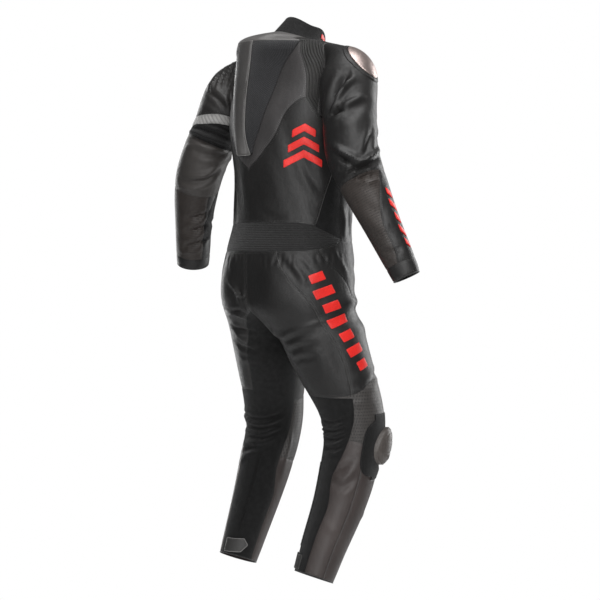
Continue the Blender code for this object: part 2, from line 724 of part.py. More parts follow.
def cut_sleeve(cloth, side, pieces):
    """Upper sleeve, elbow, forearm and cuff, with the left sleeve's band and gathered stretch."""
    name = SIDE_NAME[side]

    def above(target, ring):
        return (ring - target.params[..., 1]) * SLEEVE_RING_LENGTH

    def turned(target, low, high):
        degrees = target.params[..., 0] * 360 / SLEEVE_COLUMN_COUNT
        return around(degrees, low, high, 360, SLEEVE_DEGREE_WIDTH)

    def dipped(target, middle, dip):
        turn = (target.params[..., 0] - BAND_DIP_COLUMN) * 2 * np.pi / SLEEVE_COLUMN_COUNT
        return above(target, middle + dip * np.cos(turn))

    upper, lower = cloth.split(above(cloth, ELBOW_SEAM))
    if side == RIGHT:
        inner, upper = upper.split(turned(upper, *UNDERARM))
        pieces["sleeve_inner_right"] = (inner, "leather")
    upper, elbow = upper.split(above(upper, ELBOW_TOP[side]))
    if side == LEFT:
        upper, rest = upper.split(dipped(upper, *BAND[0]))
        silver, stretch = rest.split(dipped(rest, *BAND[1]))
        pieces["band_left"] = (silver, "silver")
        pieces["sleeve_stretch_left"] = (stretch, "stretch")
    pieces["sleeve_upper_" + name] = (upper, "leather")
    pieces["elbow_" + name] = (elbow, "leather")
    forearm, cuff = lower.split(above(lower, CUFF_SEAM))
    pieces["cuff_" + name] = (cuff, "leather")
    outer = interp(FOREARM_OUTER, forearm.params[..., 1])
    back, rest = forearm.split(turned(forearm, FOREARM_INNER - 360, outer))
    pieces["forearm_back_" + name] = (back, "brown_leather")
    wedge = turned(rest, WEDGE_FRONT, interp(WEDGE_BACK, rest.params[..., 1]))
    stretch, front = rest.split(np.minimum(wedge, above(rest, WEDGE_END)))
    pieces["forearm_stretch_" + name] = (stretch, "stretch")
    pieces["forearm_front_" + name] = (front, "leather")


def surface_normals(points, faces):
    """Normals of a triangle surface, weighted by area."""
    triangles = points[faces]
    facing = np.cross(triangles[:, 1] - triangles[:, 0], triangles[:, 2] - triangles[:, 0])
    normals = np.zeros_like(points)
    for corner in range(3):
        np.add.at(normals, faces[:, corner], facing)
    return normals / np.maximum(np.linalg.norm(normals, axis=1, keepdims=True), 1e-12)


def add_hump(base, collection):
    """The hump stands behind its base panel, highest at the ridge: cap, strip and mesh flanks."""
    points = base.bank.points.copy()
    out, fwd, height = points[:, 0] / MM, -points[:, 1] / MM, points[:, 2] / MM + ORIGIN_HEIGHT
    share = np.clip(np.abs(out) / interp(HUMP_EDGE, height), 0, 1)
    ridge = np.maximum(fwd - interp(RIDGE_FWD, height), 0)
    points[:, 1] += (HUMP_LIFT + ridge * (1 - share ** 2) ** HUMP_FULLNESS) * MM
    bank = Bank(points, surface_normals(points, base.faces))
    bank.on_seam[:] = True
    surface = Cloth(bank, base.faces, base.params.copy())
    _, _, height, _ = surface.corners()
    cap, lower = surface.split(height - CAP_HEIGHT)
    out, _, height, _ = lower.corners()
    strip, rest = lower.split(interp(STRIP_HALF, height) - np.abs(out))
    out, _, height, _ = rest.corners()
    flanks = rest.split(np.abs(out) - interp(STRIP_HALF, height) - STRIP_CLEARANCE)[0]
    flank_pieces = {}
    add_sides(flank_pieces, "hump_mesh", flanks, "mesh")
    for name, (cloth, slot) in flank_pieces.items():
        add_piece(name, wall_mesh(name, cloth, 0.0, WALL), slot, collection)
    add_piece("hump_cap", wall_mesh("hump_cap", cap, 0.0, WALL), "grey_leather", collection)
    strip_mesh = wall_mesh("hump_strip", strip, 0.0, STRIP_WALL)
    add_piece("hump_strip", strip_mesh, "grey_leather", collection)


def joined(clothes):
    bank = clothes[0].bank
    return Cloth(bank, np.concatenate([cloth.faces for cloth in clothes]),
                 np.concatenate([cloth.params for cloth in clothes]))


def refined(cloth):
    """The same patch with each triangle split into four at the middles of its edges."""
    faces, params = [], []
    for face, param in zip(cloth.faces, cloth.params):
        corners = list(face) + [cloth.bank.between(face[i], face[(i + 1) % 3], 0.5) for i in range(3)]
        places = np.concatenate([param, (param + param[[1, 2, 0]]) / 2])
        for part in ((0, 3, 5), (3, 1, 4), (5, 4, 2), (3, 4, 5)):
            faces.append([corners[corner] for corner in part])
            params.append(places[list(part)])
    return Cloth(cloth.bank, np.array(faces), np.array(params))


def add_trim(name, cloth, values, wall, slot, collection):
    """A patch cut from the panels' own points and moved out by its gap."""
    patch = cloth.split(values, slide=False)[0]
    add_piece(name, wall_mesh(name, patch, TRIM_GAP, TRIM_GAP + wall), slot, collection)
    return patch


def add_shoulder_plate(pieces, side, collection):
    cloth = pieces["sleeve_upper_" + SIDE_NAME[side]][0]
    degrees = cloth.params[..., 0] * 360 / SLEEVE_COLUMN_COUNT
    turn = (degrees - PLATE_CENTRE[1] + 180) % 360 - 180
    inside = oval((cloth.params[..., 1] - PLATE_CENTRE[0]) / PLATE_HALF[0], turn / PLATE_HALF[1], 40)
    add_trim("shoulder_plate_" + SIDE_NAME[side], cloth, inside, PLATE_WALL, "plate", collection)


def add_knee_slider(pieces, side, collection):
    """The hook-and-loop field on the knee, and the plastic puck that it holds."""
    name = SIDE_NAME[side]
    cloth = joined([pieces[piece + name][0] for piece in
                    ("knee_", "shin_front_", "shin_outer_", "thigh_front_", "thigh_outer_")])

    def inside(target, centre, half, scale):
        _, _, height, column = target.corners()
        return oval((wrapped(column) - centre[0]) / half[0], (height - centre[1]) / half[1], scale)

    base = add_trim("knee_base_" + name, cloth, inside(cloth, KNEE_BASE_CENTRE, KNEE_BASE_HALF, 60),
                    PATCH_WALL, "hook_loop", collection)
    fine = refined(base)
    puck = fine.split(inside(fine, PUCK_CENTRE, PUCK_HALF, 45), slide=False)[0]
    seat = 2 * TRIM_GAP + PATCH_WALL
    knee = [row for row in LEG_RINGS if row[2] == 320][0]
    centre = np.array(place(side, *knee[:3]))
    turn = 2 * math.pi * (SIDE_COLUMN - PUCK_CENTRE[0]) / LEG_COLUMN_COUNT
    axis = np.array((side * math.cos(turn), -math.sin(turn), 0.0))

    def dome(points, normals):
        seated = points + normals * seat * MM
        across = seated - centre
        across -= axis * (across @ axis)[:, None]
        share = np.clip(np.linalg.norm(across, axis=1) / (PUCK_HALF[1] * MM), 0, 1)
        depth = PUCK_EDGE + (PUCK_DEPTH - PUCK_EDGE) * np.sqrt(1 - share ** 2)
        return seated + axis * depth[:, None] * MM

    add_piece("knee_puck_" + name, wall_mesh("knee_puck_" + name, puck, seat, dome), "slider", collection)


def add_calf_trim(pieces, side, collection):
    """The calf zip up the back of the shin and the tab that closes the ankle over its end."""
    name = SIDE_NAME[side]
    cloth = pieces["inner_stretch_" + name][0]
    _, _, height, column = cloth.corners()
    low, high = CALF_ZIP_HEIGHTS
    half = CALF_ZIP_HALF / LEG_COLUMN_WIDTH
    across = around(column, CALF_ZIP_COLUMN - half, CALF_ZIP_COLUMN + half,
                    LEG_COLUMN_COUNT, LEG_COLUMN_WIDTH)
    inside = np.minimum(across, np.minimum(height - low, high - height))
    add_trim("calf_zip_" + name, cloth, inside, PATCH_WALL, "zip", collection)
    low, high = ANKLE_TAB_HEIGHTS
    first, last = ANKLE_TAB_COLUMNS
    rise = np.abs(height - (low + high) / 2) / ((high - low) / 2)
    across = around(column, first, last + ANKLE_TAB_POINT * (1 - rise), LEG_COLUMN_COUNT, LEG_COLUMN_WIDTH)
    inside = np.minimum(across, np.minimum(height - low, high - height))
    add_trim("ankle_tab_" + name, cloth, inside, WALL, "grey_leather", collection)


# ---------------------------------------------------------------- the zip's slider and pull


def box(bm, size, centre):
    made = bmesh.ops.create_cube(bm, size=1.0)["verts"]
    bmesh.ops.scale(bm, vec=Vector(size) * MM, verts=made)
    bmesh.ops.translate(bm, vec=Vector(centre) * MM, verts=made)


def solid_object(name, parts, slot, collection, frame):
    """A union of closed shapes, each made by a function, in the zip's frame."""
    made = []
    for shape in parts:
        bm = bmesh.new()
        shape(bm)
        mesh = bpy.data.meshes.new(name)
        bm.to_mesh(mesh)
        bm.free()
        made.append(mesh)
    piece = add_piece(name, made[0], slot, collection)
    piece.matrix_world = frame
    for mesh in made[1:]:
        tool = bpy.data.objects.new(name + "_tool", mesh)
        tool.matrix_world = frame
        tool.hide_render = True
        tool.display_type = "WIRE"
        bpy.data.collections["guides"].objects.link(tool)
        join = piece.modifiers.new("join", "BOOLEAN")
        join.operation = "UNION"
        join.object = tool
    return piece


def add_zip_head(tape, collection):
    """The slider near the neck, and the pull that hinges on its post."""
    points = tape.bank.points[np.unique(tape.faces)]
    middle = points[np.abs(points[:, 0]) < LINE_WIDTH * MM]
    middle = middle[np.argsort(middle[:, 2])]
    height = (SLIDER_HEIGHT - ORIGIN_HEIGHT) * MM
    above = np.searchsorted(middle[:, 2], height)
    low, high = middle[above - 1], middle[above]
    seat = Vector(low + (high - low) * (height - low[2]) / (high[2] - low[2]))
    up = Vector(high - low).normalized()
    outward = Vector((1, 0, 0)).cross(up)
    frame = Matrix((Vector((-1, 0, 0)), outward, up)).transposed().to_4x4()
    frame.translation = seat
    width, length, depth = SLIDER_SIZE
    top = TRIM_GAP + depth
    hinge = top + HINGE_RISE
    solid_object("zip_slider", [
        lambda bm: box(bm, (width, depth, length), (0, TRIM_GAP + depth / 2, 0)),
        lambda bm: box(bm, (POST_SIZE[0], POST_SIZE[2] + 1, POST_SIZE[1]),
                       (0, top + POST_SIZE[2] / 2 - 0.5, 0)),
    ], "zip_metal", collection, frame)
    prong = POST_SIZE[0] / 2 + PRONG_GAP + PRONG_WIDTH / 2
    hinge_frame = frame @ Matrix.Translation(Vector((0, hinge, 0)) * MM)
    grip_top = -POST_SIZE[1] / 2 - PRONG_GAP * 2

    def prong_shape(sign):
        def shape(bm):
            made = bmesh.ops.create_cone(bm, cap_ends=True, segments=12, radius1=PRONG_RADIUS * MM,
                                         radius2=PRONG_RADIUS * MM, depth=PRONG_WIDTH * MM)["verts"]
            bmesh.ops.rotate(bm, matrix=Matrix.Rotation(math.pi / 2, 3, "Y"), verts=made)
            bmesh.ops.translate(bm, vec=Vector((sign * prong, 0, 0)) * MM, verts=made)
        return shape

    def arm_shape(sign):
        size = (PRONG_WIDTH, PULL_DEPTH, 1 - grip_top)
        return lambda bm: box(bm, size, (sign * prong, 0, (grip_top - 1) / 2))

    grip = PULL_LENGTH + grip_top
    shapes = [lambda bm: box(bm, (PULL_WIDTH, PULL_DEPTH, grip), (0, 0, grip_top - grip / 2))]
    shapes += [shape(sign) for shape in (arm_shape, prong_shape) for sign in (-1, 1)]
    solid_object("zip_pull", shapes, "zip_metal", collection, hinge_frame)


def main():
    for old in list(bpy.data.objects):
        bpy.data.objects.remove(old, do_unlink=True)
    parts_collection = new_collection("motorcycle_race_suit")
    guides = new_collection("guides")
    whole, part = build_surface(guides)
    pieces = {}
    torso = whole.pick(part == TORSO)
    _, _, height, column = torso.corners()
    jacket, hips = torso.split(height - interp(WAIST_SEAM, column))
    tapes = [cut_jacket(jacket, pieces)]
    on_left = whole.bank.points[hips.faces][..., 0].mean(axis=1) > 0
    for side in (LEFT, RIGHT):
        half = hips.pick(on_left == (side == LEFT))
        tapes.append(cut_trousers(joined([half, whole.pick(part == LEG[side])]), side, pieces))
        cut_sleeve(whole.pick(part == SLEEVE[side]), side, pieces)
    tape = joined(tapes)
    pieces["zip_tape"] = (tape, "zip")
    collar = whole.pick(part == COLLAR)
    for name, (cloth, slot) in pieces.items():
        add_piece(name, wall_mesh(name, cloth, -WALL, 0.0), slot, parts_collection)
    add_piece("collar", wall_mesh("collar", collar, -COLLAR_WALL, 0.0), "collar", parts_collection)
    add_hump(pieces["back_centre"][0], parts_collection)
    for side in (LEFT, RIGHT):
        add_shoulder_plate(pieces, side, parts_collection)
        add_knee_slider(pieces, side, parts_collection)
        add_calf_trim(pieces, side, parts_collection)
    add_zip_head(tape, parts_collection)


main()
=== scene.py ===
"""A one-piece leather motorcycle race suit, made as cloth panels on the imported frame.

The panels are cut from the same smooth surface as the solids, at a finer level, with the same
tables: millimetres of the wearer, out (sideways), fwd (forward) and height (above the hems).
"""
import json
import math
from collections import namedtuple

import bpy
import numpy as np
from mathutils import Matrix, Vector, kdtree
from mathutils.bvhtree import BVHTree

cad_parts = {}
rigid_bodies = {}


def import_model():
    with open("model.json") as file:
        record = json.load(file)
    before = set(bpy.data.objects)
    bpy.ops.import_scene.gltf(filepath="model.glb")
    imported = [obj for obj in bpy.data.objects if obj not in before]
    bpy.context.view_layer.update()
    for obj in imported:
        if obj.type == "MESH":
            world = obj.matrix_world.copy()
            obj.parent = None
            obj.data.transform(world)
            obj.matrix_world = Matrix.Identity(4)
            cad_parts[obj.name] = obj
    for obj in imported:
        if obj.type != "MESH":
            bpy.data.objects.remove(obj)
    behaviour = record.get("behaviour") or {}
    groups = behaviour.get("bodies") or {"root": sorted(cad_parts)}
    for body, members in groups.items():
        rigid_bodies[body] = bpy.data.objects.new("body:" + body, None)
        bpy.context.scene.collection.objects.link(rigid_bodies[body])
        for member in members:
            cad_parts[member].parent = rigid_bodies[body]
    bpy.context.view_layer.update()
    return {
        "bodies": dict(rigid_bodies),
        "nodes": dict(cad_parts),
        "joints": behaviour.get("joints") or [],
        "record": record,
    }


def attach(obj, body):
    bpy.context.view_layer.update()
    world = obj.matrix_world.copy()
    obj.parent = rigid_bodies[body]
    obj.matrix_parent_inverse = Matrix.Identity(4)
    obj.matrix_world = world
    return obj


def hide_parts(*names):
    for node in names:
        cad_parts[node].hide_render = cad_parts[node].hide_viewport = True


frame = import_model()

MM = 0.001
ORIGIN_HEIGHT = 1340.0
LEFT, RIGHT = 1, -1
SIDE_NAME = {LEFT: "left", RIGHT: "right"}

# Cloth sizes
WALL = 2.0
COLLAR_WALL = 3.0
SEAM_GAP = 0.3
STRIP_WALL = 8.0
PATCH_WALL = 2.5
PLATE_WALL = 3.0
LINE_WIDTH = 0.05
RIB_PITCH = 5.6         # of the accordion panels

# Surface parts, kept as the material index of each cage face
TORSO, COLLAR, SLEEVE_LEFT, SLEEVE_RIGHT, LEG_LEFT, LEG_RIGHT = range(6)
SLEEVE = {LEFT: SLEEVE_LEFT, RIGHT: SLEEVE_RIGHT}
LEG = {LEFT: LEG_LEFT, RIGHT: LEG_RIGHT}

HALF_COLUMNS = 8        # torso columns from the front middle to the back middle
LEG_COLUMN_COUNT = 10
SLEEVE_COLUMN_COUNT = 8
SIDE_COLUMN = 4
ARM_COLUMNS = (3, 5)    # the armhole lies between these columns
ARM_RINGS = (5, 7)      # and between these torso rings
FIT_ROUNDS = 12
SMOOTH_LEVEL = 4

# Torso rings, bottom to top: front point, side point, back point, how far the back middle sinks,
# and the squareness of the front and back corners.
TORSO_COLUMNS = ("front_fwd", "front_height", "side_out", "side_fwd", "side_height",
                 "back_fwd", "back_height", "cleft", "front_square", "back_square")
TORSO_RINGS = (
    (112, 672, 192, 3, 672, -146, 655, 18, 2.2, 2.5),     # seat
    (130, 735, 185, -4, 735, -163, 725, 13, 2.2, 2.4),    # hips
    (131, 835, 174, -4, 828, -154, 811, 2, 2.2, 2.2),     # waist seam
    (133, 884, 166, 0, 884, -135, 882, 0, 2.2, 2.2),
    (144, 1000, 169, 3, 1000, -141, 1000, 0, 2.3, 1.85),
    (142, 1130, 183, 0, 1148, -143, 1125, 0, 2.5, 2.05),   # armpit
    (122, 1220, 194, -1, 1230, -112, 1222, 0, 2.6, 2.15),
    (103, 1272, 178, 0, 1321, -86, 1308, 0, 2.6, 2.35),    # shoulder line
    (98, 1288, 128, 2, 1336, -70, 1342, 0, 2.4, 2.4),
    (92, 1300, 77, 16, 1347, -52, 1368, 0, 2.0, 2.0),     # neck
)
COLLAR_TOP = (95, 1340, 56, 41, 1383, -9, 1412, 0, 2.0, 2.0)

# Sleeve rings from the shoulder down: centre, radius sideways and radius front to back
SLEEVE_COLUMNS = ("out", "fwd", "height", "side_radius", "front_radius")
SLEEVE_RINGS = (
    (229, -16, 1230, 74, 69),
    (258, -34, 1168, 68, 66),
    (280, -51, 1106, 65, 64),
    (303, -65, 1044, 63, 62),     # elbow
    (332, -62, 982, 59, 59),
    (372, -44, 892, 49, 49),
    (410, -20, 800, 43, 43),
    (421, -13, 771, 40, 40),      # cuff
)
# What the arms differ by: added in full at the cuff, in part below the elbow
CUFF_SHIFT = {LEFT: (-3, 0, 10, 4, 4), RIGHT: (9, 6, -22, -7, -7)}
ARMHOLE_CENTRE = (176, -4, 1236)

# Leg rings from the seat down: centre, outer, inner, front and back radius
LEG_COLUMNS = ("out", "fwd", "height", "outer_radius", "inner_radius", "front_radius",
               "back_radius")
LEG_RINGS = (
    (99, 8, 617, 101, 93, 113, 113),
    (115, 22, 553, 103, 97, 107, 94),
    (146, 54, 446, 89, 81, 88, 80),
    (158, 66, 375, 82, 75, 83, 73),
    (160, 62, 320, 77, 73, 77, 68),     # knee
    (163, 42, 250, 72, 70, 75, 66),
    (162, 12, 165, 65, 64, 66, 61),
    (157, -25, 82, 57, 56, 59, 55),
    (154, -58, 2, 51, 50, 51, 50),      # ankle
)
CROTCH = (0, 0, 632)

# Panel edges. Columns count from the front middle round the side; heights in mm.
WAIST_SEAM = ((0, 835), (3.5, 835), (4.3, 827), (4.8, 817), (5.5, 812), (8, 811))  # column, height
RIB_TOP = ((5.1, 876), (5.6, 880), (8, 884))  # column, height
CHEST_SEAM = ((0, 1072), (4, 1098))  # column, height
SIDE_FRONT = ((1150, 3.69), (1200, 4.0))  # height, column
SIDE_BACK = ((832, 3.5), (840, 3.62), (849, 3.99), (861, 4.49), (873, 4.93), (903, 4.8),
             (950, 4.58), (1038, 4.13), (1130, 4.1))  # height, column
ACCORDION_INNER = ((1118, 181), (1177, 156), (1190, 150), (1240, 145), (1270, 137),
                   (1300, 123), (1318, 116), (1332, 109), (1345, 70))               # height, out
WING_LOWER = ((0, 1018), (9, 1025), (35, 1043), (61, 1069), (86, 1098), (115, 1159), (151, 1190),
              (200, 1190))              # out, height
HUMP_EDGE = ((1051, 17.5), (1066, 21), (1089, 29), (1122, 43), (1186, 57), (1244, 67),
             (1272, 74), (1296, 86), (1316, 100), (1334, 105), (1375, 102))         # height, out
HUMP_BOTTOM = 1051
STRIP_HALF = ((1051, 16), (1340, 27))                                               # height, out
STRIP_CLEARANCE = 0.4
CAP_HEIGHT = 1334
OUTER_BACK = ((0, 6.03), (109, 5.97), (174, 5.85), (243, 6.05), (307, 5.64), (355, 5.36),
              (400, 5.1), (455, 4.94), (557, 4.75), (634, 4.97), (681, 5.25), (736, 5.95),
              (800, 6.5), (840, 6.6))  # height, column
OUTER_FRONT = ((0, 2.7), (500, 2.7), (600, 2.75), (650, 2.9), (711, 3.25), (797, 4.58), (840, 5.0))
INNER_BACK = {
    LEFT: ((0, 6.9), (550, 6.9), (600, 7.3), (640, 7.7), (680, 8.3)),  # height, column
    RIGHT: ((0, 7.56), (550, 7.56), (615, 7.8), (650, 8.0), (680, 8.3)),
}
INNER_FRONT = ((0, 9.15), (160, 9.15), (206, 8.9), (240, 8.76), (303, 8.82), (350, 8.98),
               (400, 9.2))              # height, column
THIGH_END = 446
KNEE_TOP = ((-2, 405), (0, 420), (2, 450), (3.2, 490), (4.94, 455), (7, 440))  # column, height
KNEE_BOTTOM = ((-2, 275), (1.5, 240), (3, 250), (4.5, 330), (5.4, 340), (7, 340))
SHIN_SEAM_COLUMN = 4.4
# Along a sleeve, seams are counted in rings and turns in degrees from the top over the front
BAND = ((1.93, 0.45), (2.33, 0.4))      # the ring in the middle of each edge, and how far it dips
BAND_DIP_COLUMN = 7.5
ELBOW_TOP = {LEFT: 3, RIGHT: 2.5}
UNDERARM = (85, 198)                    # the right arm's inside panel, in degrees
ELBOW_SEAM = 5
CUFF_SEAM = 7
FOREARM_OUTER = ((5, 7), (5.3, -5), (5.9, -37), (6.2, -46), (6.6, -46), (7, -58), (8, -72))
FOREARM_INNER = 180
WEDGE_FRONT = 105
WEDGE_BACK = ((5, 149), (6.1, 179), (8, 180))
WEDGE_END = 6.4

# The hump stands behind the back, highest at the ridge
RIDGE_FWD = ((1040, -158), (1051, -166), (1120, -170), (1186, -169), (1300, -155), (1334, -149),
             (1348, -138), (1358, -114), (1369, -66))     # height, fwd
HUMP_LIFT = 0.6
HUMP_FULLNESS = 0.8

# Trim and hard pieces
ZIP_HALF = 14.0
ZIP_BOTTOM = 700.0
TRIM_GAP = 0.3
PLATE_CENTRE = (1.05, 14)         # ring, degrees
PLATE_HALF = (0.5, 38)
KNEE_BASE_CENTRE = (3.0, 320)     # column, height
KNEE_BASE_HALF = (1.55, 66)
PUCK_CENTRE = (2.9, 321)
PUCK_HALF = (0.98, 47)
PUCK_EDGE = 9.0
PUCK_DEPTH = 22.0
CALF_ZIP_COLUMN = 7.45
CALF_ZIP_HALF = 5.0
CALF_ZIP_HEIGHTS = (78, 280)
ANKLE_TAB_HEIGHTS = (25, 58)
ANKLE_TAB_COLUMNS = (6.6, 8.0)
ANKLE_TAB_POINT = 0.4             # columns by which the tab's middle runs past its corners


def interp(rows, value):
    """Reads a two-column table at a value or an array of values, on a smooth line through it."""
    table = np.array(rows, dtype=float)
    x, y = table[:, 0], table[:, 1]
    if len(x) < 3:
        return np.interp(value, x, y)
    steps = np.diff(y) / np.diff(x)
    slopes = np.zeros(len(x))
    before, after = steps[:-1], steps[1:]
    same = before * after > 0
    slopes[1:-1] = np.where(same, 2 * before * after / np.where(same, before + after, 1), 0)
    slopes[0], slopes[-1] = steps[0], steps[-1]
    value = np.clip(value, x[0], x[-1])
    cell = np.clip(np.searchsorted(x, value) - 1, 0, len(x) - 2)
    width = x[cell + 1] - x[cell]
    t = (value - x[cell]) / width
    return (y[cell] * (2 * t ** 3 - 3 * t ** 2 + 1)
            + width * slopes[cell] * (t ** 3 - 2 * t ** 2 + t)
            + y[cell + 1] * (3 * t ** 2 - 2 * t ** 3)
            + width * slopes[cell + 1] * (t ** 3 - t ** 2))


def place(side, out, fwd, height):
    """Turns sizes of the wearer into a point of the frame, in metres."""
    return Vector((side * out, -fwd, height - ORIGIN_HEIGHT)) * MM


# ---------------------------------------------------------------- the cage


def torso_point(row, side, column):
    """A point of a torso ring: a squared oval from the front middle to the back middle."""
    ring = dict(zip(TORSO_COLUMNS, row))
    angle = math.pi * column / HALF_COLUMNS
    along, across = math.cos(angle), math.sin(angle)
    end = "front" if along >= 0 else "back"
    power = 2.0 / ring[end + "_square"]
    reach = abs(along) ** power
    fwd = ring["side_fwd"] + (ring[end + "_fwd"] - ring["side_fwd"]) * reach
    height = ring["side_height"] + (ring[end + "_height"] - ring["side_height"]) * along * along
    if column == HALF_COLUMNS:
        fwd += ring["cleft"]
    return place(side, ring["side_out"] * across ** power, fwd, height)


def limb_frames(side, rows, start):
    """The centre and the two cross directions of each ring of a sleeve or leg."""
    centres = [place(side, *start)] + [place(side, *row[:3]) for row in rows]
    frames = []
    for index in range(1, len(centres)):
        after = centres[min(index + 1, len(centres) - 1)]
        along = (after - centres[index - 1]).normalized()
        front = Vector((0, -1, 0))
        front = (front - along * front.dot(along)).normalized()
        outward = along.cross(front) if side == RIGHT else front.cross(along)
        frames.append((centres[index], outward, front))
    return frames


class Cage:
    """Points found by name, with four-cornered faces that carry a column and a ring number."""

    def __init__(self):
        self.points = []
        self.index = {}
        self.faces = []
        self.params = []
        self.parts = []

    def point(self, key, position):
        if key not in self.index:
            self.index[key] = len(self.points)
            self.points.append(position)
        return self.index[key]

    def face(self, side, part, corners, params):
        if side == RIGHT:
            corners, params = corners[::-1], params[::-1]
        self.faces.append(corners)
        self.params.append(params)
        self.parts.append(part)


def torso_key(side, ring, column):
    middle = column in (0, HALF_COLUMNS)
    return ("torso", 0 if middle else side, ring, column)


def add_torso(cage, side):
    """Rings from the seat to the neck and the collar, leaving the armhole open."""
    rows = TORSO_RINGS + (COLLAR_TOP,)
    top = len(rows) - 1

    def corner(ring, column):
        return cage.point(torso_key(side, ring, column), torso_point(rows[ring], side, column))

    for ring in range(top):
        for column in range(HALF_COLUMNS):
            if (ARM_RINGS[0] <= ring < ARM_RINGS[1]
                    and ARM_COLUMNS[0] <= column < ARM_COLUMNS[1]):
                continue
            spots = ((ring, column), (ring, column + 1), (ring + 1, column + 1), (ring + 1, column))
            part = COLLAR if ring == top - 1 else TORSO
            cage.face(side, part, [corner(*spot) for spot in spots],
                      [(spot[1], spot[0]) for spot in spots])


def armhole_loop(cage, side):
    """The armhole's cage points in order: over the top, down the front, up the back."""
    low, high = ARM_RINGS
    front, back = ARM_COLUMNS
    spots = [(high, SIDE_COLUMN)] + [(ring, front) for ring in range(high, low - 1, -1)]
    spots += [(low, SIDE_COLUMN)] + [(ring, back) for ring in range(low, high + 1)]
    return [cage.index[torso_key(side, *spot)] for spot in spots]


def add_sleeve(cage, side):
    """Eight columns from the armhole to the cuff, column 0 on top and column 4 underneath."""
    elbow, cuff = SLEEVE_RINGS[3][2], SLEEVE_RINGS[-1][2]
    rows = []
    for row in SLEEVE_RINGS:
        share = min(max((elbow - row[2]) / (elbow - cuff), 0), 1)
        rows.append([size + share * shift for size, shift in zip(row, CUFF_SHIFT[side])])
    frames = limb_frames(side, rows, ARMHOLE_CENTRE)
    previous = armhole_loop(cage, side)
    for number, (row, frame) in enumerate(zip(rows, frames)):
        ring = dict(zip(SLEEVE_COLUMNS, row))
        centre, outward, front = frame
        current = []
        for column in range(SLEEVE_COLUMN_COUNT):
            turn = 2 * math.pi * column / SLEEVE_COLUMN_COUNT
            offset = (outward * ring["side_radius"] * math.cos(turn)
                      + front * ring["front_radius"] * math.sin(turn))
            current.append(cage.point(("sleeve", side, number, column), centre + offset * MM))
        for column in range(SLEEVE_COLUMN_COUNT):
            nxt = (column + 1) % SLEEVE_COLUMN_COUNT
            cage.face(side, SLEEVE[side],
                      [previous[column], previous[nxt], current[nxt], current[column]],
                      [(column, number), (column + 1, number),
                       (column + 1, number + 1), (column, number + 1)])
        previous = current


def add_leg(cage, side):
    """Ten columns from the seat to the ankle: the torso's columns 0 to 8, then the inside."""
    crotch = cage.point(("crotch",), place(side, *CROTCH))
    previous = [cage.index[torso_key(side, 0, column)] for column in range(HALF_COLUMNS + 1)]
    previous.append(crotch)
    frames = limb_frames(side, LEG_RINGS, (75, 2, 690))
    for number, (row, frame) in enumerate(zip(LEG_RINGS, frames)):
        ring = dict(zip(LEG_COLUMNS, row))
        centre, outward, front = frame
        current = []
        for column in range(LEG_COLUMN_COUNT):
            turn = 2 * math.pi * (SIDE_COLUMN - column) / LEG_COLUMN_COUNT
            side_radius = ring["outer_radius"] if math.cos(turn) > 0 else ring["inner_radius"]
            front_radius = ring["front_radius"] if math.sin(turn) > 0 else ring["back_radius"]
            offset = outward * side_radius * math.cos(turn) + front * front_radius * math.sin(turn)
            current.append(cage.point(("leg", side, number, column), centre + offset * MM))
        for column in range(LEG_COLUMN_COUNT):
            nxt = (column + 1) % LEG_COLUMN_COUNT
            cage.face(side, LEG[side],
                      [current[column], current[nxt], previous[nxt], previous[column]],
                      [(column, number + 1), (column + 1, number + 1),
                       (column + 1, number), (column, number)])
        previous = current


def limit_matrix(count, faces):
    """Each row gives where a cage point ends on the smooth surface."""
    matrix = np.zeros((count, count))
    valence = np.zeros(count)
    edges = {}
    for face in faces:
        for corner, vertex in enumerate(face):
            after, across, before = (face[(corner + step) % 4] for step in (1, 2, 3))
            valence[vertex] += 1
            matrix[vertex, after] += 2
            matrix[vertex, before] += 2
            matrix[vertex, across] += 1
            edge = (min(vertex, after), max(vertex, after))
            edges[edge] = edges.get(edge, 0) + 1
    for vertex in range(count):
        size = valence[vertex]
        matrix[vertex] /= size * (size + 5)
        matrix[vertex, vertex] += size / (size + 5)
    rim = [edge for edge, uses in edges.items() if uses == 1]
    for vertex in {vertex for edge in rim for vertex in edge}:
        matrix[vertex] = 0
        matrix[vertex, vertex] = 4 / 6
    for first, second in rim:
        matrix[first, second] = 1 / 6
        matrix[second, first] = 1 / 6
    return matrix


def fitted(points, faces):
    """Moves the cage until its smooth surface passes through the tables' points."""
    targets = np.array([tuple(point) for point in points])
    matrix = limit_matrix(len(targets), faces)
    cage = targets.copy()
    for _ in range(FIT_ROUNDS):
        cage += targets - matrix @ cage
    return cage


# ---------------------------------------------------------------- cloth cut from the surface


class Bank:
    """The points and normals that all cloth cut from one surface shares."""

    def __init__(self, points, normals):
        self.points = points
        self.normals = normals
        self.cuts = {}
        self.waiting = []

    def between(self, first, second, share):
        """The point part of the way between two points, made once for both sides of a cut."""
        if first > second:
            first, second, share = second, first, 1 - share
        key = (first, second, round(share, 6))
        if key not in self.cuts:
            self.cuts[key] = len(self.points) + len(self.waiting)
            self.waiting.append((first, second, share))
        return self.cuts[key]

    def commit(self):
        if not self.waiting:
            return
        first = np.array([row[0] for row in self.waiting])
        second = np.array([row[1] for row in self.waiting])
        share = np.array([row[2] for row in self.waiting])[:, None]
        self.waiting = []
        points = self.points[first] * (1 - share) + self.points[second] * share
        self.points = np.vstack([self.points, points])
        normals = self.normals[first] * (1 - share) + self.normals[second] * share
        normals /= np.linalg.norm(normals, axis=1, keepdims=True)
        self.normals = np.vstack([self.normals, normals])


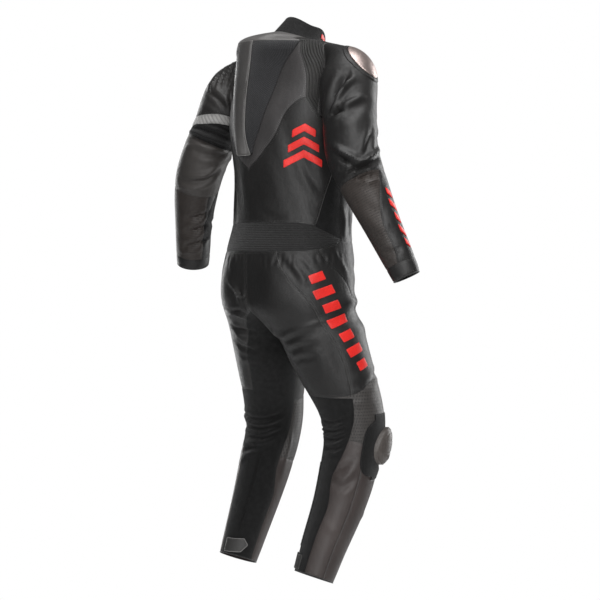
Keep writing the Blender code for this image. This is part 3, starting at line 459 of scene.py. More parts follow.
class Cloth:
    """Triangles of the smooth surface, with a column and ring number at each corner."""

    def __init__(self, bank, faces, params):
        self.bank = bank
        self.faces = faces
        self.params = params

    def corners(self):
        """Out, fwd and height in mm, and the column, of every corner."""
        points = self.bank.points[self.faces] / MM
        return points[..., 0], -points[..., 1], points[..., 2] + ORIGIN_HEIGHT, self.params[..., 0]

    def split(self, values):
        """Cuts along the line where the corner values are 0: (above, below)."""
        values = np.where(np.abs(values) < LINE_WIDTH, 0.0, values)
        above = (values >= 0).all(axis=1)
        below = (values <= 0).all(axis=1) & ~above
        sides = {True: ([self.faces[above]], [self.params[above]]),
                 False: ([self.faces[below]], [self.params[below]])}
        for number in np.flatnonzero(~above & ~below):
            for upper in (True, False):
                corners = self.clip(number, values[number] if upper else -values[number])
                faces, params = sides[upper]
                for i in range(1, len(corners) - 1):
                    fan = (corners[0], corners[i], corners[i + 1])
                    faces.append(np.array([[corner[0] for corner in fan]]))
                    params.append(np.array([[corner[1] for corner in fan]]))
        self.bank.commit()
        return tuple(Cloth(self.bank, np.concatenate(sides[key][0]), np.concatenate(sides[key][1]))
                     for key in (True, False))

    def clip(self, number, value):
        """The corners of one triangle's part with values of 0 or more."""
        corners = []
        for i in range(3):
            j = (i + 1) % 3
            if value[i] >= 0:
                corners.append((self.faces[number, i], self.params[number, i]))
            if value[i] * value[j] < 0:
                share = value[i] / (value[i] - value[j])
                mixed = self.params[number, i] * (1 - share) + self.params[number, j] * share
                point = self.bank.between(self.faces[number, i], self.faces[number, j], share)
                corners.append((point, mixed))
        return corners

    def pick(self, mask):
        return Cloth(self.bank, self.faces[mask], self.params[mask])

    def main_body(self):
        """The biggest patch that hangs together."""
        return self.pick(largest_body(self.faces))

    def refined(self):
        """The same patch with each triangle split into four at the middles of its edges."""
        ends = np.stack([self.faces, np.roll(self.faces, -1, axis=1)], axis=2)
        middles = np.array([self.bank.between(a, b, 0.5) for a, b in ends.reshape(-1, 2)])
        self.bank.commit()
        corners = np.concatenate([self.faces, middles.reshape(-1, 3)], axis=1)
        halfway = (self.params + np.roll(self.params, -1, axis=1)) / 2
        places = np.concatenate([self.params, halfway], axis=1)
        parts = ((0, 3, 5), (3, 1, 4), (5, 4, 2), (3, 4, 5))
        return Cloth(self.bank, np.concatenate([corners[:, part] for part in parts]),
                     np.concatenate([places[:, part] for part in parts]))


def joined(clothes):
    return Cloth(clothes[0].bank, np.concatenate([cloth.faces for cloth in clothes]),
                 np.concatenate([cloth.params for cloth in clothes]))


def largest_body(faces):
    """True for the triangles of the biggest patch that hangs together."""
    label = np.arange(faces.max() + 1)
    while True:
        low = label[faces].min(axis=1)
        after = label.copy()
        for corner in range(3):
            np.minimum.at(after, faces[:, corner], low)
        after = after[after]
        if (after == label).all():
            break
        label = after
    names, counts = np.unique(label[faces[:, 0]], return_counts=True)
    return label[faces[:, 0]] == names[counts.argmax()]


def rim_edges(faces):
    """The open edges of a patch, each in its face's direction."""
    edges = np.concatenate([faces[:, [0, 1]], faces[:, [1, 2]], faces[:, [2, 0]]])
    size = int(edges.max()) + 1
    forward = edges[:, 0].astype(np.int64) * size + edges[:, 1]
    backward = edges[:, 1].astype(np.int64) * size + edges[:, 0]
    return edges[~np.isin(forward, backward)]


def read(items, field, width, kind=float):
    """A field of every item of a mesh, as rows of an array."""
    values = np.empty(len(items) * width, dtype=kind)
    items.foreach_get(field, values)
    return values.reshape(-1, width)


def build_surface():
    """The whole smooth surface as cloth, and the part of each triangle."""
    cage = Cage()
    for side in (LEFT, RIGHT):
        add_torso(cage, side)
        add_sleeve(cage, side)
        add_leg(cage, side)
    mesh = bpy.data.meshes.new("suit_cage")
    mesh.from_pydata(fitted(cage.points, cage.faces).tolist(), [], cage.faces)
    mesh.polygons.foreach_set("material_index", cage.parts)
    layer = mesh.uv_layers.new(name="columns")
    layer.data.foreach_set("uv", np.array(cage.params, dtype=float).ravel())
    for _ in range(max(cage.parts) + 1):
        mesh.materials.append(None)
    guide = bpy.data.objects.new("suit_cage", mesh)
    bpy.context.scene.collection.objects.link(guide)
    smooth = guide.modifiers.new("smooth", "SUBSURF")
    smooth.levels = SMOOTH_LEVEL
    smooth.use_limit_surface = True
    smooth.uv_smooth = "NONE"
    bpy.context.view_layer.update()
    shown = guide.evaluated_get(bpy.context.evaluated_depsgraph_get())
    fine = bpy.data.meshes.new_from_object(shown)
    bpy.data.objects.remove(guide)
    bank = Bank(read(fine.vertices, "co", 3), read(fine.vertex_normals, "vector", 3))
    quads = read(fine.loops, "vertex_index", 1, int).reshape(-1, 4)
    params = read(fine.uv_layers[0].data, "uv", 2).reshape(-1, 4, 2)
    parts = read(fine.polygons, "material_index", 1, int)[:, 0]
    bpy.data.meshes.remove(fine)
    halves = ((0, 1, 2), (0, 2, 3))
    whole = Cloth(bank, np.concatenate([quads[:, half] for half in halves]),
                  np.concatenate([params[:, half] for half in halves]))
    return whole, np.concatenate([parts, parts])


ARMPIT_HEIGHT = 1165
FAR = 1000                     # mm, to keep a place out of a cut
TORSO_COLUMN_WIDTH = 55.0      # mm of cloth in one column
LEG_COLUMN_WIDTH = 50.0
BACK_COLUMN = 7.5              # a column at the back of the leg, inside the stretch
INNER_TURN = 8.6               # the column where the leg's count starts again
SLEEVE_DEGREE_WIDTH = 0.9      # mm of cloth in one degree
SLEEVE_RING_LENGTH = 65.0      # mm of cloth between two rings


def around(values, low, high, whole, scale):
    """Above 0 between two places on a closed ring whose count starts again after a whole turn."""
    middle, half = (low + high) / 2, (high - low) / 2
    turn = (values - middle + whole / 2) % whole - whole / 2
    return (half - np.abs(turn)) * scale


def oval(first, second, scale):
    """Above 0 inside an oval given by two distances as shares of its half sizes."""
    return (1 - np.sqrt(first ** 2 + second ** 2)) * scale


def wrapped(columns, turn=INNER_TURN, count=LEG_COLUMN_COUNT):
    """Columns of a closed ring as numbers that run through 0, starting after a turn column."""
    return np.where(columns > turn, columns - count, columns)


# ---------------------------------------------------------------- the panels


def add_sides(pieces, name, cloth):
    """Splits cloth at the middle plane into a left and a right piece."""
    left = cloth.bank.points[cloth.faces][..., 0].mean(axis=1) > 0
    pieces[name + "_left"] = cloth.pick(left)
    pieces[name + "_right"] = cloth.pick(~left)


def cut_jacket(cloth, pieces):
    """Front, sides and back of the jacket, above the waist seam."""
    width = TORSO_COLUMN_WIDTH
    _, _, height, column = cloth.corners()
    front, rest = cloth.split((interp(SIDE_FRONT, height) - column) * width)
    tape, front = front.split(ZIP_HALF - np.abs(front.corners()[0]))
    _, _, height, column = front.corners()
    chest, front = front.split(height - interp(CHEST_SEAM, column))
    _, _, height, column = rest.corners()
    sides, back = rest.split((interp(SIDE_BACK, height) - column) * width
                             - (height > ARMPIT_HEIGHT) * FAR)
    _, _, height, column = back.corners()
    back, pieces["waist_rib"] = back.split(height - interp(RIB_TOP, column))
    out, _, height, _ = back.corners()
    accordion, back = back.split(np.abs(out) - interp(ACCORDION_INNER, height))
    out, _, height, _ = back.corners()
    upper, pieces["lower_back"] = back.split(height - interp(WING_LOWER, np.abs(out)))
    out, _, height, _ = upper.corners()
    inside = np.minimum(interp(HUMP_EDGE, height) - np.abs(out), height - HUMP_BOTTOM)
    pieces["back_centre"], wings = upper.split(inside)
    for name, group in (("chest", chest), ("front", front), ("side", sides),
                        ("accordion", accordion), ("wing", wings)):
        add_sides(pieces, name, group)
    return tape


def cut_trousers(cloth, side, pieces):
    """Seat, thigh, knee, shin and the black stretch that runs down the inside."""
    name = SIDE_NAME[side]

    def columns_between(column, low, high):
        return around(column, low, high, LEG_COLUMN_COUNT, LEG_COLUMN_WIDTH)

    _, _, height, column = cloth.corners()
    thigh = columns_between(column, interp(INNER_BACK[side], height), interp(INNER_FRONT, height))
    calf = columns_between(column, interp(OUTER_BACK, height), interp(INNER_FRONT, height))
    in_stretch = np.maximum(thigh, np.minimum(calf, THIGH_END - height))
    pieces["inner_stretch_" + name], rest = cloth.split(in_stretch)
    _, _, height, column = rest.corners()
    thigh, lower = rest.split(height - interp(KNEE_TOP, wrapped(column)))
    _, _, height, column = lower.corners()
    pieces["knee_" + name], shin = lower.split(height - interp(KNEE_BOTTOM, wrapped(column)))
    pieces["shin_outer_" + name], pieces["shin_front_" + name] = shin.split(
        columns_between(shin.params[..., 0], SHIN_SEAM_COLUMN, BACK_COLUMN))
    _, _, height, column = thigh.corners()
    pieces["seat_" + name], ahead = thigh.split(
        columns_between(column, interp(OUTER_BACK, height), INNER_TURN))
    _, _, height, column = ahead.corners()
    pieces["thigh_outer_" + name], front = ahead.split(
        columns_between(column, interp(OUTER_FRONT, height), BACK_COLUMN))
    out, _, height, _ = front.corners()
    in_tape = np.minimum(ZIP_HALF - np.abs(out), height - ZIP_BOTTOM)
    tape, pieces["thigh_front_" + name] = front.split(in_tape)
    return tape


def cut_sleeve(cloth, side, pieces):
    """Upper sleeve, elbow, forearm and cuff, with the left sleeve's band and gathered stretch."""
    name = SIDE_NAME[side]

    def above(target, ring):
        return (ring - target.params[..., 1]) * SLEEVE_RING_LENGTH

    def turned(target, low, high):
        degrees = target.params[..., 0] * 360 / SLEEVE_COLUMN_COUNT
        return around(degrees, low, high, 360, SLEEVE_DEGREE_WIDTH)

    def dipped(target, middle, dip):
        turn = (target.params[..., 0] - BAND_DIP_COLUMN) * 2 * np.pi / SLEEVE_COLUMN_COUNT
        return above(target, middle + dip * np.cos(turn))

    upper, lower = cloth.split(above(cloth, ELBOW_SEAM))
    if side == RIGHT:
        pieces["sleeve_inner_right"], upper = upper.split(turned(upper, *UNDERARM))
    upper, pieces["elbow_" + name] = upper.split(above(upper, ELBOW_TOP[side]))
    if side == LEFT:
        upper, rest = upper.split(dipped(upper, *BAND[0]))
        pieces["band_left"], pieces["sleeve_stretch_left"] = rest.split(dipped(rest, *BAND[1]))
    pieces["sleeve_upper_" + name] = upper
    forearm, pieces["cuff_" + name] = lower.split(above(lower, CUFF_SEAM))
    outer = interp(FOREARM_OUTER, forearm.params[..., 1])
    pieces["forearm_back_" + name], rest = forearm.split(
        turned(forearm, FOREARM_INNER - 360, outer))
    wedge = turned(rest, WEDGE_FRONT, interp(WEDGE_BACK, rest.params[..., 1]))
    pieces["forearm_stretch_" + name], pieces["forearm_front_" + name] = rest.split(
        np.minimum(wedge, above(rest, WEDGE_END)))


# The ribbed panels are divided once more
FINE = ("accordion_left", "accordion_right", "sleeve_stretch_left")


def cut_everything():
    """Every panel by its solid's name, the whole surface, and which part each triangle is of."""
    whole, part = build_surface()
    pieces = {}
    torso = whole.pick(part == TORSO)
    _, _, height, column = torso.corners()
    jacket, hips = torso.split(height - interp(WAIST_SEAM, column))
    tapes = [cut_jacket(jacket, pieces)]
    on_left = whole.bank.points[hips.faces][..., 0].mean(axis=1) > 0
    for side in (LEFT, RIGHT):
        half = hips.pick(on_left == (side == LEFT))
        tapes.append(cut_trousers(joined([half, whole.pick(part == LEG[side])]), side, pieces))
        cut_sleeve(whole.pick(part == SLEEVE[side]), side, pieces)
    pieces["zip_tape"] = joined(tapes)
    pieces["collar"] = whole.pick(part == COLLAR)
    pieces = {name: cloth.main_body() for name, cloth in pieces.items()}
    for name in FINE:
        pieces[name] = pieces[name].refined()
    return pieces, whole, part


# ---------------------------------------------------------------- folds and soft form

# One fold a row: the height of its ridge (or the depth of its trough, below 0) and its width in
# mm, its lean, and then the column and the ring of each place along its line
RIGHT_SLEEVE_FOLDS = (
    (-15, 8.5, 0.3, 6, 2.57, 6.33, 2.28, 6.65, 1.97, 6.95, 1.74, 7.2, 1.63),
    (9, 8, 0, 6.38, 2.57, 6.67, 2.18, 7.07, 1.9, 7.48, 1.75),
    (-11, 6, 0, 6.06, 2.8, 6.43, 2.79, 6.76, 2.71),
    (8, 7, 0, 6.43, 2.63, 6.89, 2.63, 7.31, 2.45, 7.82, 2.22),
    (-4, 11, 0, 6.74, 3.01, 7.26, 2.81, 7.99, 2.39),
    (3, 16, 0, 6.62, 3.42, 7.11, 3.46, 7.6, 3.28),
    (10, 7.5, 0.2, 6.06, 3.85, 6.74, 4.35, 7.23, 4.7),
    (-7, 6.5, 0, 6.11, 4.16, 6.59, 4.55, 6.98, 4.76),
    (-10, 6.5, -0.1, 6.12, 4.65, 6.7, 4.77, 7.25, 4.83, 8.27, 4.66),
    (9, 7, 0, 0.96, 4.15, -0.14, 4.61, -0.85, 4.75),
    (-5, 7, 0, 0.32, 3.52, -0.11, 4.19, -0.5, 4.53),
    (6, 6, 0, 6.23, 4.81, 6.81, 4.91, 7.36, 4.97, 8.21, 4.93),
    (-5, 6, 0, 6.42, 4.94, 7, 5.07, 7.94, 5.11),
    (5, 6, 0, 6.51, 5.08, 7.08, 5.22, 7.91, 5.29),
    (-2.5, 11, 0, 6.54, 5.65, 6.91, 5.86, 7.33, 5.95),
    (2.5, 10, 0, 6.28, 6.04, 6.82, 6.17, 7.45, 6.21),
    (-3, 7, 0, 5.74, 6.51, 6.57, 6.66, 7.59, 6.67),
    # on the sides that the camera doesn't see
    (-5, 7, 0, 1.1, 2.8, 2, 3, 3, 2.9),
    (4.5, 7, 0, 1.1, 3.1, 2, 3.3, 3, 3.2),
    (-5, 7, 0, 1.2, 3.5, 2, 3.65, 2.9, 3.5),
    (4, 8, 0, 1, 4, 1.9, 4.2, 2.7, 4.1),
    (-4.5, 9, 0, 3.3, 0.5, 2.4, 0.8, 1.5, 0.8),
    (3.5, 9, 0, 3.2, 0.9, 2.3, 1.2, 1.3, 1.1),
    (-3, 7, 0, 3.9, 5.6, 3, 5.8, 2.2, 5.7),
    (3, 7, 0, 3.9, 6.2, 3, 6.3, 2.1, 6.2),
)
LEFT_SLEEVE_FOLDS = (
    (-4.5, 4, 0, 7.17, 0.15, 6.73, 0.32, 6.14, 0.56),
    (-4.5, 4, 0, 7.23, 0.27, 6.79, 0.53, 6.03, 0.84),
    (-4.5, 4, 0, 7.23, 0.46, 6.77, 0.72, 6.04, 1.12),
    (-4, 4, 0, 6.79, 0.02, 6.39, 0.13, 5.76, 0.4),
    (-4, 4, 0, 7.21, 0.67, 6.71, 0.97, 6.24, 1.34),
    (3, 5.5, 0, 6.6, 0.02, 6.17, 0.02, 5.67, 0.02),
    (-5, 6.5, 0.2, 6.77, 1.4, 5.6, 1.28, 4.91, 1.35),
    (4.5, 7, 0, 5.81, 0.45, 4.98, 1.13, 4.66, 1.69),
    (3.5, 9, 0, 6.42, 1.8, 5.68, 1.76, 5.16, 1.71),
    (-6.75, 5.5, 0, 6.83, 2.73, 5.33, 2.6, 3.82, 2.56),
    (6, 5.5, 0, 6.52, 2.87, 5.26, 2.79, 3.69, 2.79),
    (-6.75, 5.5, 0, 6.83, 3.1, 5.21, 2.98, 3.66, 2.91),
    (-5.25, 5, 0, 5.25, 2.32, 4.66, 2.25, 4.03, 2.29),
    (6, 7, 0, 6.26, 3.42, 5.42, 3.23, 4.48, 3.13),
    (-6, 7, 0, 5.45, 3.46, 4.46, 3.35, 3.58, 3.07),
    (-6, 7, 0, 5.87, 4.63, 5.09, 4.5, 4.36, 4.3, 3.88, 3.94),
    (5.25, 7, 0, 5.11, 4.31, 4.52, 4.07, 4, 3.66),
    (4.5, 6, 0, 5.87, 4.85, 5.08, 4.72, 4.31, 4.59),
    (-5.25, 6, 0, 5.21, 5.75, 4.51, 5.66, 3.84, 5.54),
    (5.25, 6, 0, 5.28, 5.93, 4.54, 5.84, 3.84, 5.72),
    (-6, 6, 0, 5.27, 6.15, 4.51, 6.04, 3.85, 5.93),
    (5.25, 6, 0, 5.44, 6.36, 4.56, 6.23, 3.8, 6.11),
    (-6, 6, 0, 5.44, 6.56, 4.54, 6.43, 3.64, 6.32),
    (4.5, 5, 0, 5.85, 6.78, 4.82, 6.68, 3.78, 6.63),
    # on the sides that the camera doesn't see
    (-5, 7, 0, 1.1, 2.9, 2, 3.1, 2.9, 3),
    (4.5, 7, 0, 1.1, 3.2, 2, 3.4, 2.9, 3.3),
    (-5, 7, 0, 1.2, 3.6, 2, 3.75, 2.8, 3.65),
    (4, 8, 0, 1, 4.1, 1.8, 4.3, 2.6, 4.2),
    (-4.5, 9, 0, 3.2, 0.6, 2.3, 0.8, 1.3, 0.7),
    (3.5, 9, 0, 3.1, 1, 2.2, 1.2, 1.2, 1),
    (-3, 7, 0, 3.8, 5.8, 2.9, 6, 2.1, 5.9),
    (-4, 6, 0, 0.2, 2.2, 1.1, 2.3, 2.1, 2.2),
    (3.5, 6, 0, 0.1, 2.4, 1.1, 2.5, 2.1, 2.4),
)
RIGHT_TORSO_FOLDS = (
    (-3.5, 18, 0.2, 6.6, 5.31, 6.28, 4.76, 5.98, 4.33, 5.56, 3.81, 5.01, 3.38),
    (3.5, 22, 0, 6.95, 4.35, 6.66, 3.87, 6.35, 3.22),
    (-3, 12, 0.3, 5.67, 4.38, 5.31, 3.99, 4.75, 3.66),
    (3, 14, 0, 5.91, 4.25, 5.56, 3.9, 5.21, 3.61),
    (-1.6, 16, 0, 7.97, 4.23, 7.73, 3.81, 7.42, 3.22),
    (-3.5, 9, 0, 4.35, 4.98, 4.47, 4.72, 4.49, 4.42),
    (-3, 8, 0, 7.41, 3.27, 6.95, 3.15, 6.44, 3.12),
    (3.5, 8, 0, 3.57, 3.45, 3.38, 3.01, 3.34, 2.26),
    (-3.5, 8, 0, 3.1, 3.39, 2.86, 2.91, 2.81, 2.16),
    (-1.35, 5.5, 0, 7.96, 1.85, 7.91, 1.62),
    (1.35, 6, 0, 7.6, 1.82, 7.44, 1.58, 7.31, 1.3),
    (-3.5, 7, 0, 6.41, 1.75, 6.02, 1.43, 5.63, 1.07),
    (4, 8, 0, 6.11, 1.73, 5.64, 1.36, 5.3, 0.97),
    (-3, 6, 0, 5.53, 1.71, 5.27, 1.54, 5.03, 1.33),
    (3, 7, 0, 4.14, 1.82, 3.77, 1.5, 3.37, 1.1),
    (0.98, 3.6, 0, 7.95, 1.85, 7.96, 1.55),
    (-1.26, 3.4, 0, 7.75, 1.87, 7.75, 1.73, 7.77, 1.61),
    (1.26, 3.6, 0, 7.59, 1.85, 7.58, 1.65),
    (-1.68, 3.4, 0, 7.16, 1.84, 7.15, 1.68, 7.14, 1.52),
    (0.98, 3.6, 0, 7.01, 1.82, 6.98, 1.57),
    (-1.26, 3.4, 0, 6.93, 1.83, 6.91, 1.63, 6.9, 1.44),
    (1.26, 3.6, 0, 6.79, 1.8, 6.75, 1.5),
    (-1.68, 3.4, 0, 6.58, 1.8, 6.56, 1.67, 6.54, 1.55),
    (0.98, 3.6, 0, 6.44, 1.78, 6.41, 1.59),
    (-1.26, 3.4, 0, 6.33, 1.79, 6.3, 1.63, 6.28, 1.47),
    (1.26, 3.6, 0, 6.19, 1.76, 6.16, 1.52),
    (-1.68, 3.4, 0, 5.91, 1.75, 5.88, 1.56, 5.86, 1.38),
    (0.98, 3.6, 0, 5.77, 1.73, 5.73, 1.45),
    (-1.08, 3.4, 0, 4.87, 1.73, 4.85, 1.61, 4.81, 1.49),
    (1.08, 3.6, 0, 4.74, 1.71, 4.7, 1.53),
    (-1.44, 3.4, 0, 4.54, 1.74, 4.52, 1.58, 4.48, 1.44),
    (0.84, 3.6, 0, 4.41, 1.72, 4.37, 1.5),
    (-1.08, 3.4, 0, 4.29, 1.75, 4.26, 1.56, 4.23, 1.39),
    (1.08, 3.6, 0, 4.14, 1.73, 4.11, 1.45),
    (-1.44, 3.4, 0, 3.89, 1.76, 3.86, 1.64, 3.8, 1.52),
    (0.84, 3.6, 0, 3.71, 1.75, 3.64, 1.57),
    # on the sides that the camera doesn't see
    (-4.5, 12, 0, 2.8, 5.2, 2.3, 4.5, 1.7, 3.9),
    (4, 11, 0, 2.3, 5.6, 1.8, 4.9, 1.1, 4.3),
    (-4, 12, 0, 0.9, 4, 1.2, 3.2, 1.8, 2.5),
    (3.5, 10, 0, 0.8, 3.2, 1.1, 2.6, 1.6, 2),
    (10, 17, 0, 4.5, 0.25, 2.9, 0.3, 0.6, 0.2),
    (-2, 12, 0, 2.8, 1.6, 2.2, 1.3, 1.1, 1.1),
)
LEFT_TORSO_FOLDS = (
    (1.2, 12, 0, 7.43, 4.2, 7.54, 3.75, 7.63, 3.24),
    (1.575, 5.5, 0, 6.83, 1.84, 7.15, 1.65, 7.34, 1.38),
    (-1.35, 5, 0, 7.61, 1.85, 7.73, 1.67, 7.79, 1.45),
    (-1.68, 3.4, 0, 7.05, 1.84, 7.09, 1.71, 7.1, 1.58),
    (0.98, 3.6, 0, 7.31, 1.84, 7.34, 1.64),
    (-1.26, 3.4, 0, 7.42, 1.86, 7.44, 1.69, 7.44, 1.52),
    (1.26, 3.6, 0, 7.62, 1.85, 7.63, 1.6),
    (-1.68, 3.4, 0, 7.88, 1.87, 7.88, 1.66, 7.85, 1.47),
    (-5, 6, 0, 7.69, 0.94, 7.86, 0.46, 7.91, 0),
    (4.5, 6, 0, 7.21, 1.12, 7.57, 0.84, 7.74, 0.46),
    (6, 6.5, 0, 7.83, 0.84, 7.99, 0.34, 7.9, 0.02),
    # on the sides that the camera doesn't see
    (-4.5, 14, 0.2, 5.9, 4.6, 6.2, 3.9, 6.6, 3.2),
    (4, 13, 0, 5.2, 4.4, 5.6, 3.8, 5.9, 3.2),
    (-3, 9, 0, 4.4, 4.8, 4.6, 4.2, 4.7, 3.4),
    (3.5, 9, 0, 3.4, 4.6, 3.3, 4, 3.3, 3.3),
    (-4.5, 12, 0, 2.9, 5.3, 2.4, 4.6, 1.9, 4),
    (4, 12, 0.1, 2.2, 5.5, 1.7, 4.9, 1.2, 4.4),
    (-4, 11, 0, 1.1, 3.9, 1.3, 3.1, 1.9, 2.4),
    (3.5, 10, 0, 0.7, 3.1, 0.9, 2.5, 1.4, 1.9),
    (10, 17, 0, 4.5, 0.25, 2.9, 0.3, 0.6, 0.2),
    (-2, 12, 0, 2.9, 1.5, 2.2, 1.2, 1.2, 1),
    (3, 7, 0, 4.2, 1.9, 4.5, 1.5, 4.7, 1),
)
RIGHT_LEG_FOLDS = (
    (8, 8, 0.2, 7.98, 0.02, 7.85, 0.33, 7.67, 0.71, 6.71, 1.02),
    (2.475, 6.5, 0, 6.69, 0.98, 6.07, 0.93, 5.38, 0.89, 4.81, 0.89),
    (-2.75, 6, 0, 6.61, 1.21, 5.97, 1.19, 5.38, 1.18),
    (2.475, 6, 0, 6.79, 1.37, 5.91, 1.4, 5.25, 1.47),
    (-2.475, 6, 0, 6.93, 1.53, 6, 1.59, 5.43, 1.69),
    (2.2, 6, 0, 6.96, 1.74, 6.14, 1.75, 5.61, 1.82),
    (-2.2, 6, 0, 7.03, 1.88, 6.3, 1.9, 5.84, 1.93),
    (2.5, 12, 0, 5.56, 1.65, 5.68, 2.09, 5.83, 2.53),
    (-2.5, 12, 0, 4.93, 1.67, 5, 2.23, 5.12, 2.69),
    (-5, 5, 0, 7.58, 3.48, 6.27, 3.74, 5.56, 3.64),
    (4.5, 5, 0, 7.6, 3.77, 6.32, 3.98, 5.6, 3.87),
    (-5, 5, 0, 7.6, 4.15, 6.37, 4.32, 5.63, 4.08),
    (4.5, 5, 0, 7.65, 4.42, 6.32, 4.53, 5.59, 4.32),
    (-5, 5, 0, 7.56, 4.77, 6.24, 4.85, 5.6, 4.57),
    (4.5, 5, 0, 7.19, 5.05, 6.21, 5.11, 5.64, 4.86),
    (-4.5, 5, 0, 7.1, 5.28, 6.23, 5.33, 5.72, 5.11),
    (3.5, 6, 0, 7.28, 5.57, 6.31, 5.57, 5.78, 5.38),
    (-3, 8, 0, 6.13, 6.03, 5.54, 5.91, 5.08, 5.59),
    (-3.5, 8, 0, 6.03, 6.39, 5.24, 6.44, 4.72, 6.15),
    (3, 9, 0, 5.92, 6.2, 5.3, 6.22, 4.83, 5.92),
    (-2.5, 8, 0, 4.8, 2.79, 4.17, 2.85, 3.41, 2.88),
    (3, 8, 0, 5.17, 3.21, 4.54, 3.23, 3.75, 3.24),
    (2.5, 10, 0, 5.93, 7.45, 5.06, 7.62, 4.31, 7.61),
    # on the sides that the camera doesn't see
    (-5, 15, 0, 4.3, 1.2, 3, 1.1, 1.2, 0.9),
    (-3, 10, 0, 9.4, 0.8, 8.6, 0.9, 7.8, 0.8),
    (-3.5, 7, 0, 3.9, 2.9, 2.8, 2.75, 1.8, 2.9),
    (-3, 7, 0, 3.6, 5.3, 2.6, 5.5, 1.5, 5.3),
    (-4, 5.5, 0, 8.9, 3.9, 8.1, 4, 7.4, 3.9),
    (4, 5.5, 0, 8.9, 4.1, 8.1, 4.2, 7.4, 4.1),
    (-4, 5.5, 0, 8.8, 4.35, 8.1, 4.4, 7.4, 4.35),
    (3, 9, 0, 1.1, 6.3, 1.8, 6.8, 2.8, 7),
)
LEFT_LEG_FOLDS = (
    (-4, 6, 0, 6.27, 0.02, 7.52, 0.02, 7.82, 0.09),
    (5, 5, 0, 6.77, 0.02, 7.37, 0.08, 7.75, 0.32),
    (-5, 6, 0, 6.41, 0.75, 7.02, 0.77, 7.64, 0.73),
    (4, 7, 0, 6.42, 1.07, 6.81, 1.16, 7.21, 1.15),
    (-4, 7, 0, 6.27, 1.5, 6.83, 1.56, 7.36, 1.53),
    (3, 8, 0, 6.18, 1.99, 6.82, 1.97, 7.38, 1.92),
    (-4.5, 5.5, 0, 5.7, 4.08, 7.22, 4, 8.42, 3.59),
    (4, 5.5, 0, 5.4, 4.46, 7.19, 4.4, 8.35, 3.88),
    (-5, 5.5, 0, 5.33, 4.77, 7.13, 4.78, 8.28, 4.22),
    (4.5, 5.5, 0, 5.57, 5.04, 7.17, 5.08, 8.17, 4.56),
    (-5, 5.5, 0, 5.8, 5.27, 7.18, 5.32, 8.14, 4.87),
    (4.5, 6, 0, 5.67, 5.57, 7.07, 5.55, 7.91, 5.21),
    (-3.5, 7, 0, 5.42, 5.79, 6.8, 5.77, 7.66, 5.55),
    (4.5, 6, 0, 5.86, 6.33, 6.6, 6.01, 7.35, 5.86),
    (-4, 6, 0, 5.4, 6.08, 6.54, 5.76, 7.33, 5.68),
    (3, 8, 0, 9.15, 4.73, 9.13, 5.44, 9.19, 6),
    (-3, 8, 0, 8.82, 5.14, 8.83, 5.84, 9.01, 6.42),
    (2.5, 9, 0, 5.98, 7.42, 7.01, 7.63, 7.63, 7.69),
    # on the sides that the camera doesn't see
    (-5, 15, 0, 4.3, 1.2, 3, 1.1, 1.2, 0.9),
    (-3.5, 9, 0, 5, 1.6, 4.3, 1.1, 3.8, 0.5),
    (3.5, 10, 0, 4.6, 2.3, 4, 1.8, 3.6, 1.2),
    (-3.5, 7, 0, 3.9, 2.9, 2.8, 2.7, 1.8, 2.9),
    (-3.5, 7, 0, 3.7, 5.1, 2.6, 5.3, 1.6, 5.1),
    (3, 9, 0, 1.2, 6.4, 1.9, 6.9, 2.8, 7.1),
    (-4.5, 5, 0, 6.2, 4, 5.5, 4.05, 4.9, 3.9),
    (4, 5, 0, 6.1, 4.15, 5.4, 4.2, 4.8, 4.05),
)
FOLDS = {
    ("sleeve", RIGHT): RIGHT_SLEEVE_FOLDS, ("sleeve", LEFT): LEFT_SLEEVE_FOLDS,
    ("torso", RIGHT): RIGHT_TORSO_FOLDS, ("torso", LEFT): LEFT_TORSO_FOLDS,
    ("leg", RIGHT): RIGHT_LEG_FOLDS, ("leg", LEFT): LEFT_LEG_FOLDS,
}
FOLD_SAMPLES = 28
FOLD_REACH = 4          # widths beyond a line that its fold can touch
FLANK_DEPTH = 0.4       # how high the cloth stands beside a trough, as a share of its depth
FLANK_PLACE = 2.1       # and how many widths from its line


def point_tree(points):
    """A search tree of points by their numbers."""
    tree = kdtree.KDTree(len(points))
    for number, point in enumerate(points):
        tree.insert(point, number)
    tree.balance()
    return tree


def smooth_line(points, count):
    """A smooth line through control points, as evenly spaced samples of its run."""
    points = np.array(points, dtype=float)
    if len(points) == 2:
        share = np.linspace(0, 1, count)[:, None]
        return points[0] * (1 - share) + points[1] * share
    padded = np.vstack([2 * points[0] - points[1], points, 2 * points[-1] - points[-2]])
    spots = np.linspace(0, len(points) - 1 - 1e-9, count)
    cell = spots.astype(int)
    t = (spots - cell)[:, None]
    a, b, c, d = (padded[cell + step] for step in range(4))
    return 0.5 * (2 * b + (c - a) * t + (2 * a - 5 * b + 4 * c - d) * t ** 2
                  + (3 * b - a - 3 * c + d) * t ** 3)


# A panel's outer face: its points, its triangles, its open edges, and the way into the panel
Shape = namedtuple("Shape", "points faces rim inward")


class Address:
    """Finds the point of the surface at a column and a ring of one part."""

    def __init__(self, cloths, wrap):
        faces = np.concatenate([cloth.faces for cloth in cloths]).ravel()
        params = np.concatenate([cloth.params for cloth in cloths]).reshape(-1, 2)
        self.numbers, first = np.unique(faces, return_index=True)
        self.params = params[first]
        self.wrap = wrap

    def find(self, spots):
        found = []
        for column, ring in spots:
            step = np.abs(self.params[:, 0] - column)
            if self.wrap:
                step = np.minimum(step % self.wrap, self.wrap - step % self.wrap)
            found.append(self.numbers[np.argmin(step ** 2 + (self.params[:, 1] - ring) ** 2)])
        return np.array(found)


